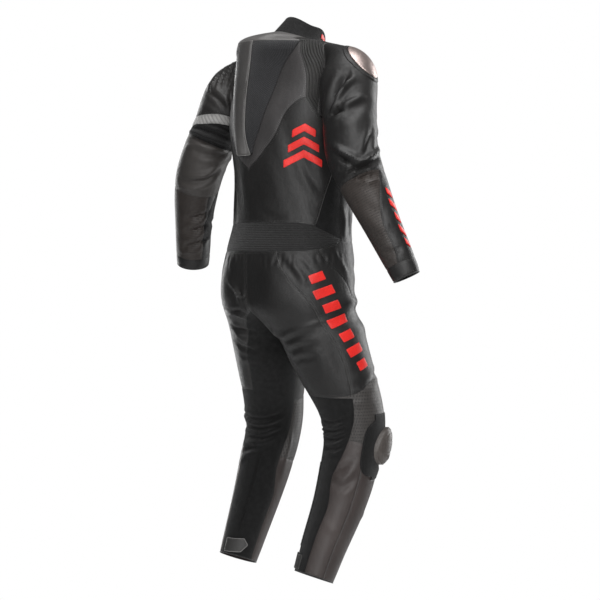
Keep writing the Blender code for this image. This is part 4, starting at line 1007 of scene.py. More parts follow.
def fold(bank, numbers, depth, width, lean):
    """How far each point moves for one fold that runs through the numbered points, in mm."""
    line = smoothed(bank.points[numbers] / MM, 5)
    facing = smoothed(bank.normals[numbers], 5)
    run = np.gradient(line, axis=0)
    across = np.cross(facing, run)
    across /= np.maximum(np.linalg.norm(across, axis=1, keepdims=True), 1e-9)
    points = bank.points / MM
    reach = FOLD_REACH * width
    inside = (points > line.min(axis=0) - reach) & (points < line.max(axis=0) + reach)
    near = np.flatnonzero(inside.all(axis=1))
    moved = np.zeros(len(points))
    if not len(near):
        return moved
    steps = points[near][:, None] - line[None]
    distance = np.linalg.norm(steps, axis=2)
    closest = distance.argmin(axis=1)
    rows = np.arange(len(near))
    gap = distance[rows, closest]
    side = np.einsum("ij,ij->i", steps[rows, closest], across[closest])
    same = np.einsum("ij,ij->i", bank.normals[near], facing[closest]) > 0.1
    share = closest / (len(line) - 1)
    taper = np.sin(np.pi * np.clip(share * 0.9 + 0.05, 0, 1)) ** 0.7
    reach = width * np.where(side > 0, 1 + lean, 1 - lean)
    form = np.exp(-(gap / reach) ** 2)
    if depth < 0:
        form -= FLANK_DEPTH * np.exp(-((gap - FLANK_PLACE * reach) / reach) ** 2)
    moved[near] = np.where(same, depth * form * taper, 0)
    return moved


def surface_normals(points, faces):
    """Normals of a triangle surface, weighted by area."""
    triangles = points[faces]
    facing = np.cross(triangles[:, 1] - triangles[:, 0], triangles[:, 2] - triangles[:, 0])
    normals = np.zeros_like(points)
    for corner in range(3):
        np.add.at(normals, faces[:, corner], facing)
    return normals / np.maximum(np.linalg.norm(normals, axis=1, keepdims=True), 1e-12)


def sculpt(pieces, whole, part):
    """Lays the folds into the whole surface, then points the normals along the new form."""
    bank = whole.bank
    places = {}
    for side in (LEFT, RIGHT):
        half = whole.bank.points[whole.faces][..., 0].mean(axis=1) * side > 0
        places["torso", side] = Address([whole.pick((part == TORSO) & half)], 0)
        places["sleeve", side] = Address([whole.pick(part == SLEEVE[side])], SLEEVE_COLUMN_COUNT)
        places["leg", side] = Address([whole.pick(part == LEG[side])], LEG_COLUMN_COUNT)
    moved = np.zeros(len(bank.points))
    for place, rows in FOLDS.items():
        for depth, width, lean, *line in rows:
            numbers = places[place].find(smooth_line(np.reshape(line, (-1, 2)), FOLD_SAMPLES))
            moved += fold(bank, numbers, depth, width, lean)
    bank.points = bank.points + bank.normals * moved[:, None] * MM
    faces = np.concatenate([cloth.faces for cloth in pieces.values()])
    bank.normals = surface_normals(bank.points, faces)


def seam_distance(points, rim):
    """The distance of every point from the panel's edge, in mm."""
    ends = points[rim]
    share = np.array((0, 1 / 3, 2 / 3))[:, None]
    tree = point_tree((ends[:, :1] * (1 - share) + ends[:, 1:] * share).reshape(-1, 3))
    return np.array([tree.find(point)[2] for point in points]) / MM


PUFF_WIDTH = 22.0       # mm from a seam over which a panel comes up
PINCH_WIDTH = 3.2
RELIEF_EDGE = 3.0
SHARP_ANGLE = math.radians(50)


def wall_mesh(name, cloth, inner, outer, uv, pinch=0.0, puff=0.0, relief=None):
    """A closed wall between two offsets of the cloth, its edge drawn in by half the seam gap.

    pinch is how far the panel sinks at its seams and puff how far it stands up between them, and
    relief gives the height of ribs, in mm, at the cut's coordinates.
    """
    used, faces = np.unique(cloth.faces, return_inverse=True)
    faces = faces.reshape(cloth.faces.shape)
    points = cloth.bank.points[used]
    normals = cloth.bank.normals[used]
    rim = rim_edges(faces)
    first, second = rim[:, 0], rim[:, 1]
    step = np.cross(normals[first] + normals[second], points[second] - points[first])
    step /= np.maximum(np.linalg.norm(step, axis=1, keepdims=True), 1e-12)
    inward = np.zeros_like(points)
    np.add.at(inward, first, step)
    np.add.at(inward, second, step)
    length = np.linalg.norm(inward, axis=1, keepdims=True)
    inward = np.divide(inward, length, out=np.zeros_like(inward), where=length > 0)
    points += inward * SEAM_GAP * MM / 2
    spots = np.zeros((len(points), 2))
    spots[faces.ravel()] = uv.reshape(-1, 2)
    if pinch or puff or relief:
        distance = seam_distance(points, rim)
        lift = (puff * (1 - np.exp(-(distance / PUFF_WIDTH) ** 2))
                - pinch * np.exp(-(distance / PINCH_WIDTH) ** 2))
        if relief:
            lift += relief(spots) * (1 - np.exp(-(distance / RELIEF_EDGE) ** 2))
        points += normals * lift[:, None] * MM

    def moved(amount):
        return amount(points, normals) if callable(amount) else points + normals * amount * MM

    count = len(points)
    turn = used[first] < used[second]
    walls = np.concatenate([
        np.stack([second, first, count + np.where(turn, first, second)], axis=1),
        np.stack([np.where(turn, second, first), count + first, count + second], axis=1)])
    outside = moved(outer)
    mesh = new_mesh(name, np.concatenate([outside, moved(inner)]),
                    np.concatenate([faces, count + faces[:, ::-1], walls]))
    add_uv(mesh, np.concatenate([uv, uv[:, ::-1], np.concatenate([spots, spots])[walls]]))
    mesh.set_sharp_from_angle(angle=SHARP_ANGLE)
    return mesh, Shape(outside, faces, rim, inward)


def add_uv(mesh, places):
    mesh.uv_layers.new(name="cut").data.foreach_set("uv", places.ravel())


def new_mesh(name, points, faces):
    mesh = bpy.data.meshes.new(name)
    mesh.vertices.add(len(points))
    mesh.vertices.foreach_set("co", np.asarray(points, dtype=float).ravel())
    mesh.loops.add(faces.size)
    mesh.loops.foreach_set("vertex_index", faces.ravel())
    mesh.polygons.add(len(faces))
    mesh.polygons.foreach_set("loop_start", np.arange(len(faces)) * faces.shape[1])
    mesh.polygons.foreach_set("loop_total", np.full(len(faces), faces.shape[1]))
    mesh.update(calc_edges=True)
    mesh.validate()
    mesh.shade_smooth()
    return mesh


# ---------------------------------------------------------------- materials


class Look:
    """A material built node by node."""

    def __init__(self, name, **sockets):
        self.material = bpy.data.materials.new(name)
        self.material.use_nodes = True
        self.tree = self.material.node_tree
        self.shader = self.tree.nodes["Principled BSDF"]
        for socket, value in sockets.items():
            self.shader.inputs[socket.replace("_", " ")].default_value = value
        self.height = None

    def node(self, kind, inputs=None, **settings):
        made = self.tree.nodes.new("ShaderNode" + kind)
        for key, value in settings.items():
            setattr(made, key, value)
        for key, value in (inputs or {}).items():
            if isinstance(value, bpy.types.NodeSocket):
                self.tree.links.new(value, made.inputs[key])
            else:
                made.inputs[key].default_value = value
        return made

    def place(self):
        return self.node("TexCoord").outputs["Object"]

    def cut(self):
        return self.node("UVMap", uv_map="cut").outputs["UV"]

    def stretched(self, vector, scale):
        return self.node("VectorMath", {0: vector, 1: scale}, operation="MULTIPLY").outputs[0]

    def math(self, kind, first, second=0.0):
        return self.node("Math", {0: first, 1: second}, operation=kind).outputs[0]

    def noise(self, scale, detail=2.0, rough=0.5, vector=None):
        return self.node("TexNoise", {"Vector": vector or self.place(), "Scale": scale,
                                      "Detail": detail, "Roughness": rough}).outputs["Fac"]

    def spread(self, value, low, high, to_low, to_high):
        return self.node("MapRange", {"Value": value, "From Min": low, "From Max": high,
                                      "To Min": to_low, "To Max": to_high}).outputs["Result"]

    def patches(self, noise, low=0.0, high=1.0):
        """A noise spread over its usual run, between two values."""
        return self.spread(noise, 0.3, 0.7, low, high)

    def inverse(self, value):
        return self.math("SUBTRACT", 1.0, value)

    def blend(self, factor, first, second):
        made = self.node("Mix", data_type="RGBA")
        for socket, value in ((0, factor), (6, first), (7, second)):
            if isinstance(value, bpy.types.NodeSocket):
                self.tree.links.new(value, made.inputs[socket])
            else:
                made.inputs[socket].default_value = value if socket == 0 else (*value[:3], 1)
        return made.outputs[2]

    def colour(self, output):
        self.tree.links.new(output, self.shader.inputs["Base Color"])

    def roughness(self, output):
        self.tree.links.new(output, self.shader.inputs["Roughness"])

    def bump(self, output, millimetres):
        made = self.node("Bump", {"Height": output, "Distance": millimetres * MM, "Strength": 1.0})
        if self.height:
            self.tree.links.new(self.height, made.inputs["Normal"])
        self.height = made.outputs["Normal"]
        self.tree.links.new(self.height, self.shader.inputs["Normal"])


def shade(colour, share):
    return tuple(min(channel * share, 1) for channel in colour)


def leather(name, colour, rough=0.46, grain=1.0, holes=0.0):
    """Full grain leather: pebbled grain with painted shade in its hollows, soft creases, uneven dye
    and rubbed, shinier spots.

    grain is the strength of its relief and holes the pitch of its perforation in mm.
    """
    look = Look(name, Specular_IOR_Level=0.40, Coat_Weight=0.05, Coat_Roughness=0.3,
                Sheen_Roughness=0.4)
    cells = look.node("TexVoronoi", {"Vector": look.place(), "Scale": 620.0},
                      feature="DISTANCE_TO_EDGE").outputs[0]
    pebble = look.spread(cells, 0.0, 0.35, 0.0, 1.0)
    wide = look.noise(9.0, 3.0)
    fine = look.noise(150.0, 4.0, 0.6)
    tone = look.blend(look.patches(wide), shade(colour, 0.78), shade(colour, 1.25))
    # painted shade: the hollows between the grain's pebbles are darkened
    grain_hollow_shade = look.math("MULTIPLY", look.spread(pebble, 0.0, 0.5, 1.0, 0.0), 0.45)
    tone = look.blend(grain_hollow_shade, tone, shade(colour, 0.45))
    look.bump(pebble, 0.10 * grain)
    look.bump(fine, 0.55 * grain)
    look.bump(look.noise(38.0, 3.0), 1.1 * grain)
    if holes:
        dots = perforation(look, holes)
        tone = look.blend(dots, tone, HOLE)
        look.bump(look.inverse(dots), 0.6)
    look.colour(tone)
    rub = look.math("ADD", look.math("MULTIPLY", fine, 0.6), look.math("MULTIPLY", wide, 0.4))
    look.roughness(look.patches(rub, rough - 0.09, rough + 0.12))
    return look.material


def perforation(look, pitch):
    """1 inside small round holes set in staggered rows, pitch in mm."""
    grid = look.stretched(look.cut(), (1000 / pitch, 1000 / pitch, 0))
    parts = look.node("SeparateXYZ", {0: grid})
    odd = look.math("MODULO", look.math("FLOOR", parts.outputs[1]), 2.0)
    shift = look.math("MULTIPLY", odd, 0.5)
    squares = []
    for place in (look.math("ADD", parts.outputs[0], shift), parts.outputs[1]):
        away = look.math("SUBTRACT", look.math("FRACT", place), 0.5)
        squares.append(look.math("MULTIPLY", away, away))
    return look.spread(look.math("SQRT", look.math("ADD", *squares)), 0.17, 0.25, 1.0, 0.0)


def ribbed(name, colour, pitch, depth, axis=0, rough=0.8, sheen=0.25, trough_shade=0.5):
    """Ribs along the cloth, pitch in mm, with painted shade in their troughs, over a fine weave."""
    look = Look(name, Specular_IOR_Level=0.3, Sheen_Weight=sheen, Sheen_Roughness=0.5)
    parts = look.node("SeparateXYZ", {0: look.cut()})
    across = look.math("MULTIPLY", parts.outputs[axis], 2 * math.pi * 1000 / pitch)
    wave = look.spread(look.math("SINE", across), -1.0, 1.0, 0.0, 1.0)
    # painted shade: the rib troughs, low on the same wave as the bump, are darkened
    tone = look.blend(look.spread(wave, 0.0, 0.6, trough_shade, 0.0), colour, shade(colour, 0.25))
    mottle = look.math("MULTIPLY", look.patches(look.noise(14.0, 2.0)), 0.35)
    look.colour(look.blend(mottle, tone, shade(colour, 1.5)))
    look.bump(wave, depth)
    look.bump(weave(look, 1.1), 0.12)
    look.roughness(look.patches(look.noise(90.0), rough - 0.08, rough + 0.08))
    return look.material


def weave(look, pitch):
    grid = look.stretched(look.cut(), (2000 * math.pi / pitch, 2000 * math.pi / pitch, 0))
    parts = look.node("SeparateXYZ", {0: grid})
    return look.math("MULTIPLY", *(look.math("SINE", parts.outputs[axis]) for axis in (0, 1)))


def mesh_cloth(name, colour):
    """Open knit over dark foam: a close grid of round holes."""
    look = Look(name, Specular_IOR_Level=0.2, Sheen_Weight=0.3, Sheen_Roughness=0.6)
    holes = perforation(look, 2.6)
    mottle = look.patches(look.noise(20.0, 2.0))
    tone = look.blend(mottle, shade(colour, 0.85), shade(colour, 1.15))
    look.colour(look.blend(holes, tone, shade(colour, 0.3)))
    look.bump(look.inverse(holes), 0.5)
    look.bump(look.noise(800.0, 2.0), 0.15)
    look.roughness(look.patches(look.noise(120.0), 0.82, 0.95))
    return look.material


def metal(name, colour, rough):
    """Brushed and lightly scratched."""
    look = Look(name, Metallic=1.0)
    brushed = look.noise(1.0, 3.0, 0.6, look.stretched(look.place(), (90.0, 900.0, 90.0)))
    scratches = look.noise(1.0, 5.0, 0.7, look.stretched(look.place(), (1400.0, 60.0, 200.0)))
    look.colour(look.blend(look.patches(brushed), shade(colour, 0.88), shade(colour, 1.08)))
    look.roughness(look.spread(scratches, 0.35, 0.65, rough - 0.08, rough + 0.12))
    look.bump(brushed, 0.05)
    return look.material


def plastic(name, colour, rough):
    """Moulded plastic with sliding scuffs."""
    look = Look(name, Specular_IOR_Level=0.45)
    scuffs = look.noise(1.0, 4.0, 0.7, look.stretched(look.place(), (500.0, 500.0, 60.0)))
    worn = look.spread(scuffs, 0.5, 0.68, 0.0, 0.7)
    look.colour(look.blend(worn, colour, shade(colour, 1.9)))
    look.roughness(look.patches(scuffs, rough, rough + 0.2))
    look.bump(scuffs, 0.12)
    look.bump(look.noise(1200.0, 1.0), 0.04)
    return look.material


def pile(name, colour):
    """Hook and loop: a dense, matte pile, speckled with painted shade in the hollows between its
    loops.
    """
    look = Look(name, Specular_IOR_Level=0.12, Sheen_Weight=0.12, Sheen_Roughness=0.6)
    loops = look.node("TexVoronoi", {"Vector": look.place(), "Scale": 900.0}).outputs[0]
    depth = look.spread(loops, 0.1, 0.7, 0.0, 1.0)
    # painted shade: lighter at the top of each loop, darker in the hollows between them
    look.colour(look.blend(depth, shade(colour, 1.6), shade(colour, 0.4)))
    look.bump(look.spread(loops, 0.0, 0.8, 1.0, 0.0), 0.7)
    look.roughness(look.patches(look.noise(300.0), 0.85, 1.0))
    return look.material


def thread(name, colour):
    """Twisted sewing thread."""
    look = Look(name, Specular_IOR_Level=0.35, Sheen_Weight=0.3)
    twist = look.noise(1800.0, 1.0)
    look.colour(look.blend(twist, shade(colour, 0.7), shade(colour, 1.3)))
    look.roughness(look.patches(twist, 0.45, 0.65))
    return look.material


HOLE = (0.002, 0.002, 0.002)
# Colour, roughness, grain and the pitch of its holes for a leather, or colour, rib pitch, rib
# depth, rib axis, roughness, sheen and the painted shade of the rib troughs for a ribbed cloth,
# pitch and depth in mm
MATERIALS = {
    "leather": leather("black_leather", (0.0125, 0.0118, 0.0115)),
    "grey_leather": leather("grey_leather", (0.050, 0.047, 0.047), 0.48),
    "pale_leather": leather("pale_grey_leather", (0.12, 0.115, 0.112), 0.45),
    "strip_leather": leather("strip_leather", (0.072, 0.069, 0.067), 0.42),
    "tab_leather": leather("tab_leather", (0.034, 0.033, 0.032), 0.5),
    "knee_leather": leather("knee_leather", (0.056, 0.051, 0.048), 0.5, 1.0, 8.0),
    "elbow_leather": leather("elbow_leather", (0.052, 0.047, 0.044), 0.5),
    # painted highlight: a lighter copy of the black leather, for the left upper sleeve
    "sleeve_leather": leather("sleeve_leather", (0.030, 0.028, 0.027)),
    "coil": pile("calf_zip_coil", (0.0022, 0.0022, 0.0022)),
    "brown_leather": leather("brown_leather", (0.040, 0.032, 0.028), 0.5, 1.1, 3.4),
    "shin_leather": leather("shin_leather", (0.047, 0.037, 0.0345)),
    # painted highlight and shade: a panel of its own, whose pale grey is a painted sheen of glossy
    # folds and whose darker slanted ribs are painted shade between them
    "silver": ribbed("band_painted_sheen", (0.42, 0.41, 0.40), 9.0, 0.5, 0, 0.42, 0.0, 0.4),
    "gathers": ribbed("gathered_stretch_cloth", (0.0105, 0.0102, 0.0104), 2.4, 0.35, 1, 0.8, 0.1),
    "stretch": ribbed("stretch_cloth", (0.0034, 0.0033, 0.0034), 2.4, 0.35, 1, 0.85, 0.10),
    "rib": ribbed("waist_rib_cloth", (0.0125, 0.012, 0.012), 4.4, 0.9, 1, 0.7, 0.15),
    "accordion": ribbed("accordion_leather", (0.026, 0.025, 0.024), RIB_PITCH, 0.6, 0, 0.46, 0.05,
                        0.8),
    "collar": ribbed("collar_cloth", (0.006, 0.0057, 0.0058), 1.6, 0.15, 0, 0.8, 0.04),
    "mesh": mesh_cloth("hump_mesh", (0.0120, 0.0120, 0.0135)),
    "plate": metal("brushed_plate", (0.50, 0.41, 0.385), 0.42),
    "zip_metal": metal("zip_metal", (0.30, 0.30, 0.31), 0.32),
    "slider": plastic("knee_slider_plastic", (0.066, 0.057, 0.052), 0.36),
    "hook_loop": pile("hook_and_loop", (0.0055, 0.0052, 0.0052)),
    "zip": ribbed("zip_tape_cloth", (0.010, 0.010, 0.010), 1.4, 0.2),
    "red": leather("red_print", (0.86, 0.024, 0.018), 0.42, 0.5),
    "thread": thread("seam_thread", (0.050, 0.048, 0.047)),
    "piping": leather("piping", (0.19, 0.185, 0.18), 0.4, 0.4),
    "cord": leather("cord_piping", (0.075, 0.073, 0.071), 0.4, 0.4),
    "binding": ribbed("edge_binding", (0.012, 0.012, 0.012), 1.2, 0.15, 0, 0.7),
}
SLOT_LOOKS = {
    "grey_leather": "pale_leather strip_leather tab_leather shin_leather piping",
    "brown_leather": "knee_leather elbow_leather",
    "leather": "sleeve_leather cord red thread",
    "zip": "coil",
    "rib": "accordion",
    "stretch": "binding gathers",
}
SLOT = {look: slot for slot, looks in SLOT_LOOKS.items() for look in looks.split()}


def add_piece(name, mesh, look, *nodes, body="suit"):
    piece = bpy.data.objects.new(name, mesh)
    bpy.context.scene.collection.objects.link(piece)
    mesh.materials.append(MATERIALS[look])
    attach(piece, body)
    if nodes:
        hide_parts(*nodes)


# ---------------------------------------------------------------- making the panels

# look, how far the seams sink, how far the middle stands up, and the panels it holds for
PANEL_LOOKS = (
    ("leather", 0.9, 0.8, "front chest sleeve_upper sleeve_inner seat thigh_outer thigh_front"),
    ("leather", 0.9, 0.6, "lower_back"),
    ("leather", 0.3, 0.0, "back_centre"),
    ("leather", 0.9, 1.0, "elbow"),
    ("leather", 0.8, 0.4, "cuff"),
    ("leather", 0.8, 0.5, "forearm_front"),
    ("brown_leather", 0.8, 0.5, "forearm_back"),
    ("grey_leather", 0.9, 0.6, "wing"),
    ("knee_leather", 0.9, 0.8, "knee"),
    ("shin_leather", 0.8, 0.5, "shin_outer"),
    ("shin_leather", 0.9, 0.6, "shin_front"),
    ("stretch", 0.5, 0.0, "side sleeve_stretch"),
    ("stretch", 0.4, 0.0, "forearm_stretch inner_stretch"),
    ("accordion", 0.5, 0.6, "accordion"),
    ("rib", 0.7, 0.8, "waist_rib"),
    ("silver", 0.9, 1.4, "band"),
    ("collar", 0.4, 0.2, "collar"),
    ("zip", 0.0, -1.0, "zip_tape"),
)
PANELS = {name: row[:3] for row in PANEL_LOOKS for name in row[3].split()}
# Panels of the left sleeve that look other than their twins on the right: the gathered stretch and
# the elbow are cut from other stuff, and the upper sleeve's lighter leather is a painted highlight
LEFT_LOOKS = {"elbow_left": "elbow_leather", "sleeve_upper_left": "sleeve_leather",
              "sleeve_stretch_left": "gathers"}
SLEEVE_PANELS = ("sleeve_upper", "sleeve_inner", "sleeve_stretch", "elbow", "cuff", "forearm_back",
                 "forearm_front", "forearm_stretch")
SLEEVE_COLUMN_WIDTH = 45.0     # mm of cloth in one column
APPLIQUE_SCALE = 50            # mm of cloth in one column or ring


def base_name(node):
    for end in ("_left", "_right"):
        node = node.removesuffix(end)
    return node


def panel_uv(node, cloth):
    """The cut's own coordinates in metres: across, then along the piece."""
    out, _, height, column = cloth.corners()
    base = base_name(node)
    if base == "accordion":
        return np.stack([np.abs(out) - interp(ACCORDION_INNER, height), height], axis=-1) * MM
    if base == "applique":
        return cloth.params * APPLIQUE_SCALE * MM
    in_sleeve = cloth.params * np.array([SLEEVE_COLUMN_WIDTH, SLEEVE_RING_LENGTH]) * MM
    if base == "band":          # turned, so that its ribs run aslant
        across, along = in_sleeve[..., 0], in_sleeve[..., 1]
        return np.stack([across * 0.6 + along * 0.8, along * 0.6 - across * 0.8], axis=-1)
    if base in SLEEVE_PANELS:
        return in_sleeve
    return np.stack([column * TORSO_COLUMN_WIDTH, height], axis=-1) * MM


def ribs(axis, pitch, height):
    """A relief of even ribs, pitch and height in mm."""
    return lambda spots: height * np.sin(spots[:, axis] * 2 * np.pi / (pitch * MM))


RELIEF = {"accordion": ribs(0, RIB_PITCH, 1.0)}


def make_panels(pieces):
    """Every panel as a piece, and its shape by its name."""
    shapes = {}
    for node in pieces:
        if node == "elbow_right":       # shows as one panel with the length above it
            continue
        nodes = (node, "elbow_right") if node == "sleeve_upper_right" else (node,)
        cloth = joined([pieces[each] for each in nodes]).main_body()
        look, pinch, puff = PANELS[base_name(node)]
        wall = COLLAR_WALL if node == "collar" else WALL
        mesh, shapes[node] = wall_mesh(node + "_panel", cloth, -wall, 0.0, panel_uv(node, cloth),
                                       pinch, puff, RELIEF.get(base_name(node)))
        add_piece(node + "_panel", mesh, LEFT_LOOKS.get(node, look), *nodes)
    return shapes


# ---------------------------------------------------------------- lines, bindings and stitches


def chains(edges):
    """Puts edges in order, as lines of point numbers; a closed line ends where it starts."""
    after = {int(first): int(second) for first, second in edges}
    starts = sorted(set(after) - set(after.values()), reverse=True)
    lines = []
    while after:
        number = starts.pop() if starts else min(after)
        line = [number]
        while number in after:
            number = after.pop(number)
            line.append(number)
        lines.append(line)
    return lines


LONG_EDGE = 40          # points in the shortest line that counts as a piece's whole edge


def long_lines(edges, count=LONG_EDGE):
    return [line for line in chains(edges) if len(line) > count]


def shared_lines(first, second):
    """The lines along which two panels meet, as numbers of the bank."""
    edges = rim_edges(first.faces)
    return long_lines(edges[np.isin(edges, np.unique(second.faces)).all(axis=1)], 3)


def evenly(line, step):
    """Points at an even step, in mm, along a line in metres."""
    run = np.concatenate([[0], np.cumsum(np.linalg.norm(np.diff(line, axis=0), axis=1))])
    count = max(int(run[-1] / (step * MM)), 2)
    spots = np.linspace(0, run[-1], count)
    return np.stack([np.interp(spots, run, line[:, axis]) for axis in range(3)], axis=1)


def smoothed(line, rounds=2):
    """Evens out the small steps of a line without moving its ends."""
    closed = np.allclose(line[0], line[-1])
    for _ in range(rounds):
        middle = (line[:-2] + line[2:]) / 4 + line[1:-1] / 2
        if closed:
            end = (line[-2] + line[1]) / 4 + line[0] / 2
            line = np.vstack([end, middle, end])
        else:
            line = np.vstack([line[0], middle, line[-1]])
    return line


def tube(line, facing, across_radius, rise_radius, sides=8):
    """Points and faces of a closed tube along a line, wider along the surface than it is high."""
    closed = np.allclose(line[0], line[-1])
    if closed:
        line, facing = line[:-1], facing[:-1]
        run = np.roll(line, -1, axis=0) - np.roll(line, 1, axis=0)
    else:
        run = np.gradient(line, axis=0)
    run /= np.linalg.norm(run, axis=1, keepdims=True)
    across = np.cross(run, facing)
    across /= np.linalg.norm(across, axis=1, keepdims=True)
    up = np.cross(across, run)
    turns = np.linspace(0, 2 * np.pi, sides, endpoint=False)
    rings = (line[:, None] + across[:, None] * np.cos(turns)[None, :, None] * across_radius * MM
             + up[:, None] * np.sin(turns)[None, :, None] * rise_radius * MM)
    count = len(line)
    ring, spot = np.meshgrid(np.arange(count if closed else count - 1), np.arange(sides),
                             indexing="ij")
    ring, spot = ring.ravel(), spot.ravel()
    nxt, beside = (ring + 1) % count, (spot + 1) % sides
    a, b = ring * sides + spot, ring * sides + beside
    c, d = nxt * sides + beside, nxt * sides + spot
    faces = [np.stack([a, c, b], axis=1), np.stack([a, d, c], axis=1)]
    if not closed:
        fan = np.arange(1, sides - 1)
        last = (count - 1) * sides
        faces.append(np.stack([np.zeros_like(fan), fan, fan + 1], axis=1))
        faces.append(np.stack([np.full_like(fan, last), last + fan + 1, last + fan], axis=1))
    return rings.reshape(-1, 3), np.concatenate(faces)


def merged(parts):
    """Joins (points, faces) pairs into one."""
    points, faces, count = [], [], 0
    for part_points, part_faces in parts:
        points.append(part_points)
        faces.append(part_faces + count)
        count += len(part_points)
    return np.concatenate(points), np.concatenate(faces)


def box_uv(mesh):
    """Flat coordinates in metres for pieces that have no cut: along x and y plus z."""
    points = read(mesh.vertices, "co", 3)
    spots = points[read(mesh.loops, "vertex_index", 1, int)[:, 0]]
    add_uv(mesh, np.stack([spots[:, 0] + spots[:, 1], spots[:, 2]], axis=1))


def line_piece(name, parts, look):
    mesh = new_mesh(name, *merged(parts))
    box_uv(mesh)
    add_piece(name, mesh, look)


def welt(bank, line, lift, width, rise, sides=8):
    """A tube along a line of the surface, lifted off it."""
    points = smoothed(bank.points[line] + bank.normals[line] * lift * MM)
    return tube(points, bank.normals[line], width, rise, sides)


def piping(name, bank, lines, look, width, rise, lift=0.3):
    """A thin welt along lines of the surface."""
    line_piece(name, [welt(bank, line, lift, width, rise) for line in lines], look)


# The rolled edges: name, panels, the heights in metres above or below which the edge lies, wall
HEM_PANELS = ("inner_stretch_", "shin_outer_", "shin_front_")
BINDINGS = [("collar_binding", ["collar"], -0.03, None, COLLAR_WALL)]
BINDINGS += [("cuff_binding_" + side, ["cuff_" + side], None, -0.47, WALL)
             for side in ("left", "right")]
BINDINGS += [("hem_binding_" + side, [panel + side for panel in HEM_PANELS], None, -1.3, WALL)
             for side in ("left", "right")]


def bindings(pieces):
    """Rolled edges at the collar, the cuffs and the hems."""
    bank = pieces["collar"].bank
    for name, nodes, low, high, wall in BINDINGS:
        edges = rim_edges(joined([pieces[node] for node in nodes]).faces)
        height = bank.points[edges, 2].mean(axis=1)
        lines = long_lines(edges[height > low if high is None else height < high])
        outermost = max if high is None else min
        line = outermost(lines, key=lambda line: bank.points[line, 2].mean())
        line_piece(name, [welt(bank, line, -wall / 2, 1.5, wall / 2 + 0.55, 10)], "binding")


STITCH_PITCH = 4.4
STITCH_SIZE = (3.0, 0.75, 0.42)      # length, width, height above the leather
STITCH_ROWS = (2.2, 5.4)             # mm inside the seam
STITCH_CLEAR = 0.6                   # the least gap between two stitches, in pitches
# The single rows on the trim, in mm inside its edge
HUMP_ROW, FRAME_ROW, FIELD_ROW, TAB_ROW = (4.2,), (2.0,), (2.4,), (3.0,)
STITCHED = {
    "jacket": ("front", "chest", "wing", "lower_back"),
    "sleeve": ("sleeve_upper", "sleeve_inner", "band", "elbow", "forearm_back", "forearm_front",
               "cuff"),
    "leg": ("seat", "thigh_outer", "thigh_front", "knee", "shin_outer", "shin_front"),
}


def stitch_row(places, runs, facings):
    """Small eight-sided stitches, one at each place."""
    across = np.cross(facings, runs)
    across /= np.linalg.norm(across, axis=1, keepdims=True)
    up = np.cross(runs, across)
    length, width, height = (size * MM for size in STITCH_SIZE)
    corners = np.stack([places - runs * length / 2, places + runs * length / 2,
                        places - across * width / 2, places + across * width / 2,
                        places - up * height / 2, places + up * height], axis=1)
    shape = np.array(((0, 2, 5), (2, 1, 5), (1, 3, 5), (3, 0, 5),
                      (2, 0, 4), (1, 2, 4), (3, 1, 4), (0, 3, 4)))
    faces = (np.arange(len(places))[:, None, None] * 6 + shape[None]).reshape(-1, 3)
    return corners.reshape(-1, 3), faces


def rows_inside(shape, rows):
    """Stitches along rows a little inside a panel's edge, set on its outer face."""
    tree = BVHTree.FromPolygons(shape.points.tolist(), shape.faces.tolist())
    parts = []
    for chain in chains(shape.rim):
        if len(chain) < 4:
            continue
        for row in rows:
            line = smoothed(shape.points[chain] + shape.inward[chain] * row * MM, 3)
            spots = evenly(line, STITCH_PITCH)
            if len(spots) < 3:
                continue
            found = [tree.find_nearest(Vector(spot)) for spot in spots]
            places = np.array([hit[0] for hit in found])
            facings = smoothed(np.array([hit[1] for hit in found]))
            facings /= np.linalg.norm(facings, axis=1, keepdims=True)
            runs = np.gradient(places, axis=0)
            runs -= facings * np.einsum("ij,ij->i", runs, facings)[:, None]
            length = np.linalg.norm(runs, axis=1, keepdims=True)
            good = length[:, 0] > 1e-5
            apart = np.linalg.norm(np.diff(places, axis=0), axis=1)
            keep = good[:-1] & good[1:] & (apart > STITCH_CLEAR * STITCH_PITCH * MM)
            middle = (places[:-1] + places[1:]) / 2
            runs /= np.maximum(length, 1e-9)
            parts.append(stitch_row(middle[keep], runs[:-1][keep], facings[:-1][keep]))
    return parts


def stitch(name, rows, *shapes):
    """One object with rows of stitches inside the edges of some panels."""
    line_piece(name, [part for shape in shapes for part in rows_inside(shape, rows)], "thread")


def build_stitches(shapes):
    """The double topstitching of the leather panels, one object for each part of the suit."""
    groups = {}
    for node, shape in shapes.items():
        for group, names in STITCHED.items():
            if base_name(node) in names:
                side = "" if group == "jacket" else "_" + node.split("_")[-1]
                groups.setdefault(group + side, []).append(shape)
    for group, sewn in groups.items():
        stitch(group + "_stitches", STITCH_ROWS, *sewn)


# ---------------------------------------------------------------- the hump


def rounded(wall, radius, points, rim):
    """An outer face that stands off by the wall, rounded down at its edge."""
    distance = np.minimum(seam_distance(points, rim), radius)
    return wall - radius + np.sqrt(np.maximum(radius ** 2 - (radius - distance) ** 2, 0))


def add_shell(name, cloth, like, inner, outer, radius, look, *nodes):
    """A closed piece with a rounded outer edge, its grain as on the panel it's like."""
    rim = np.searchsorted(np.unique(cloth.faces), rim_edges(cloth.faces))

    def face(points, normals):
        return points + normals * rounded(outer, radius, points, rim)[:, None] * MM

    mesh, shape = wall_mesh(name, cloth, inner, face, panel_uv(like, cloth))
    add_piece(name, mesh, look, *nodes)
    return shape


CAP_REACH = 42.0        # how far below the neck seam the cap reaches its full height
STRIP_PIPING_DEPTH = 3.0


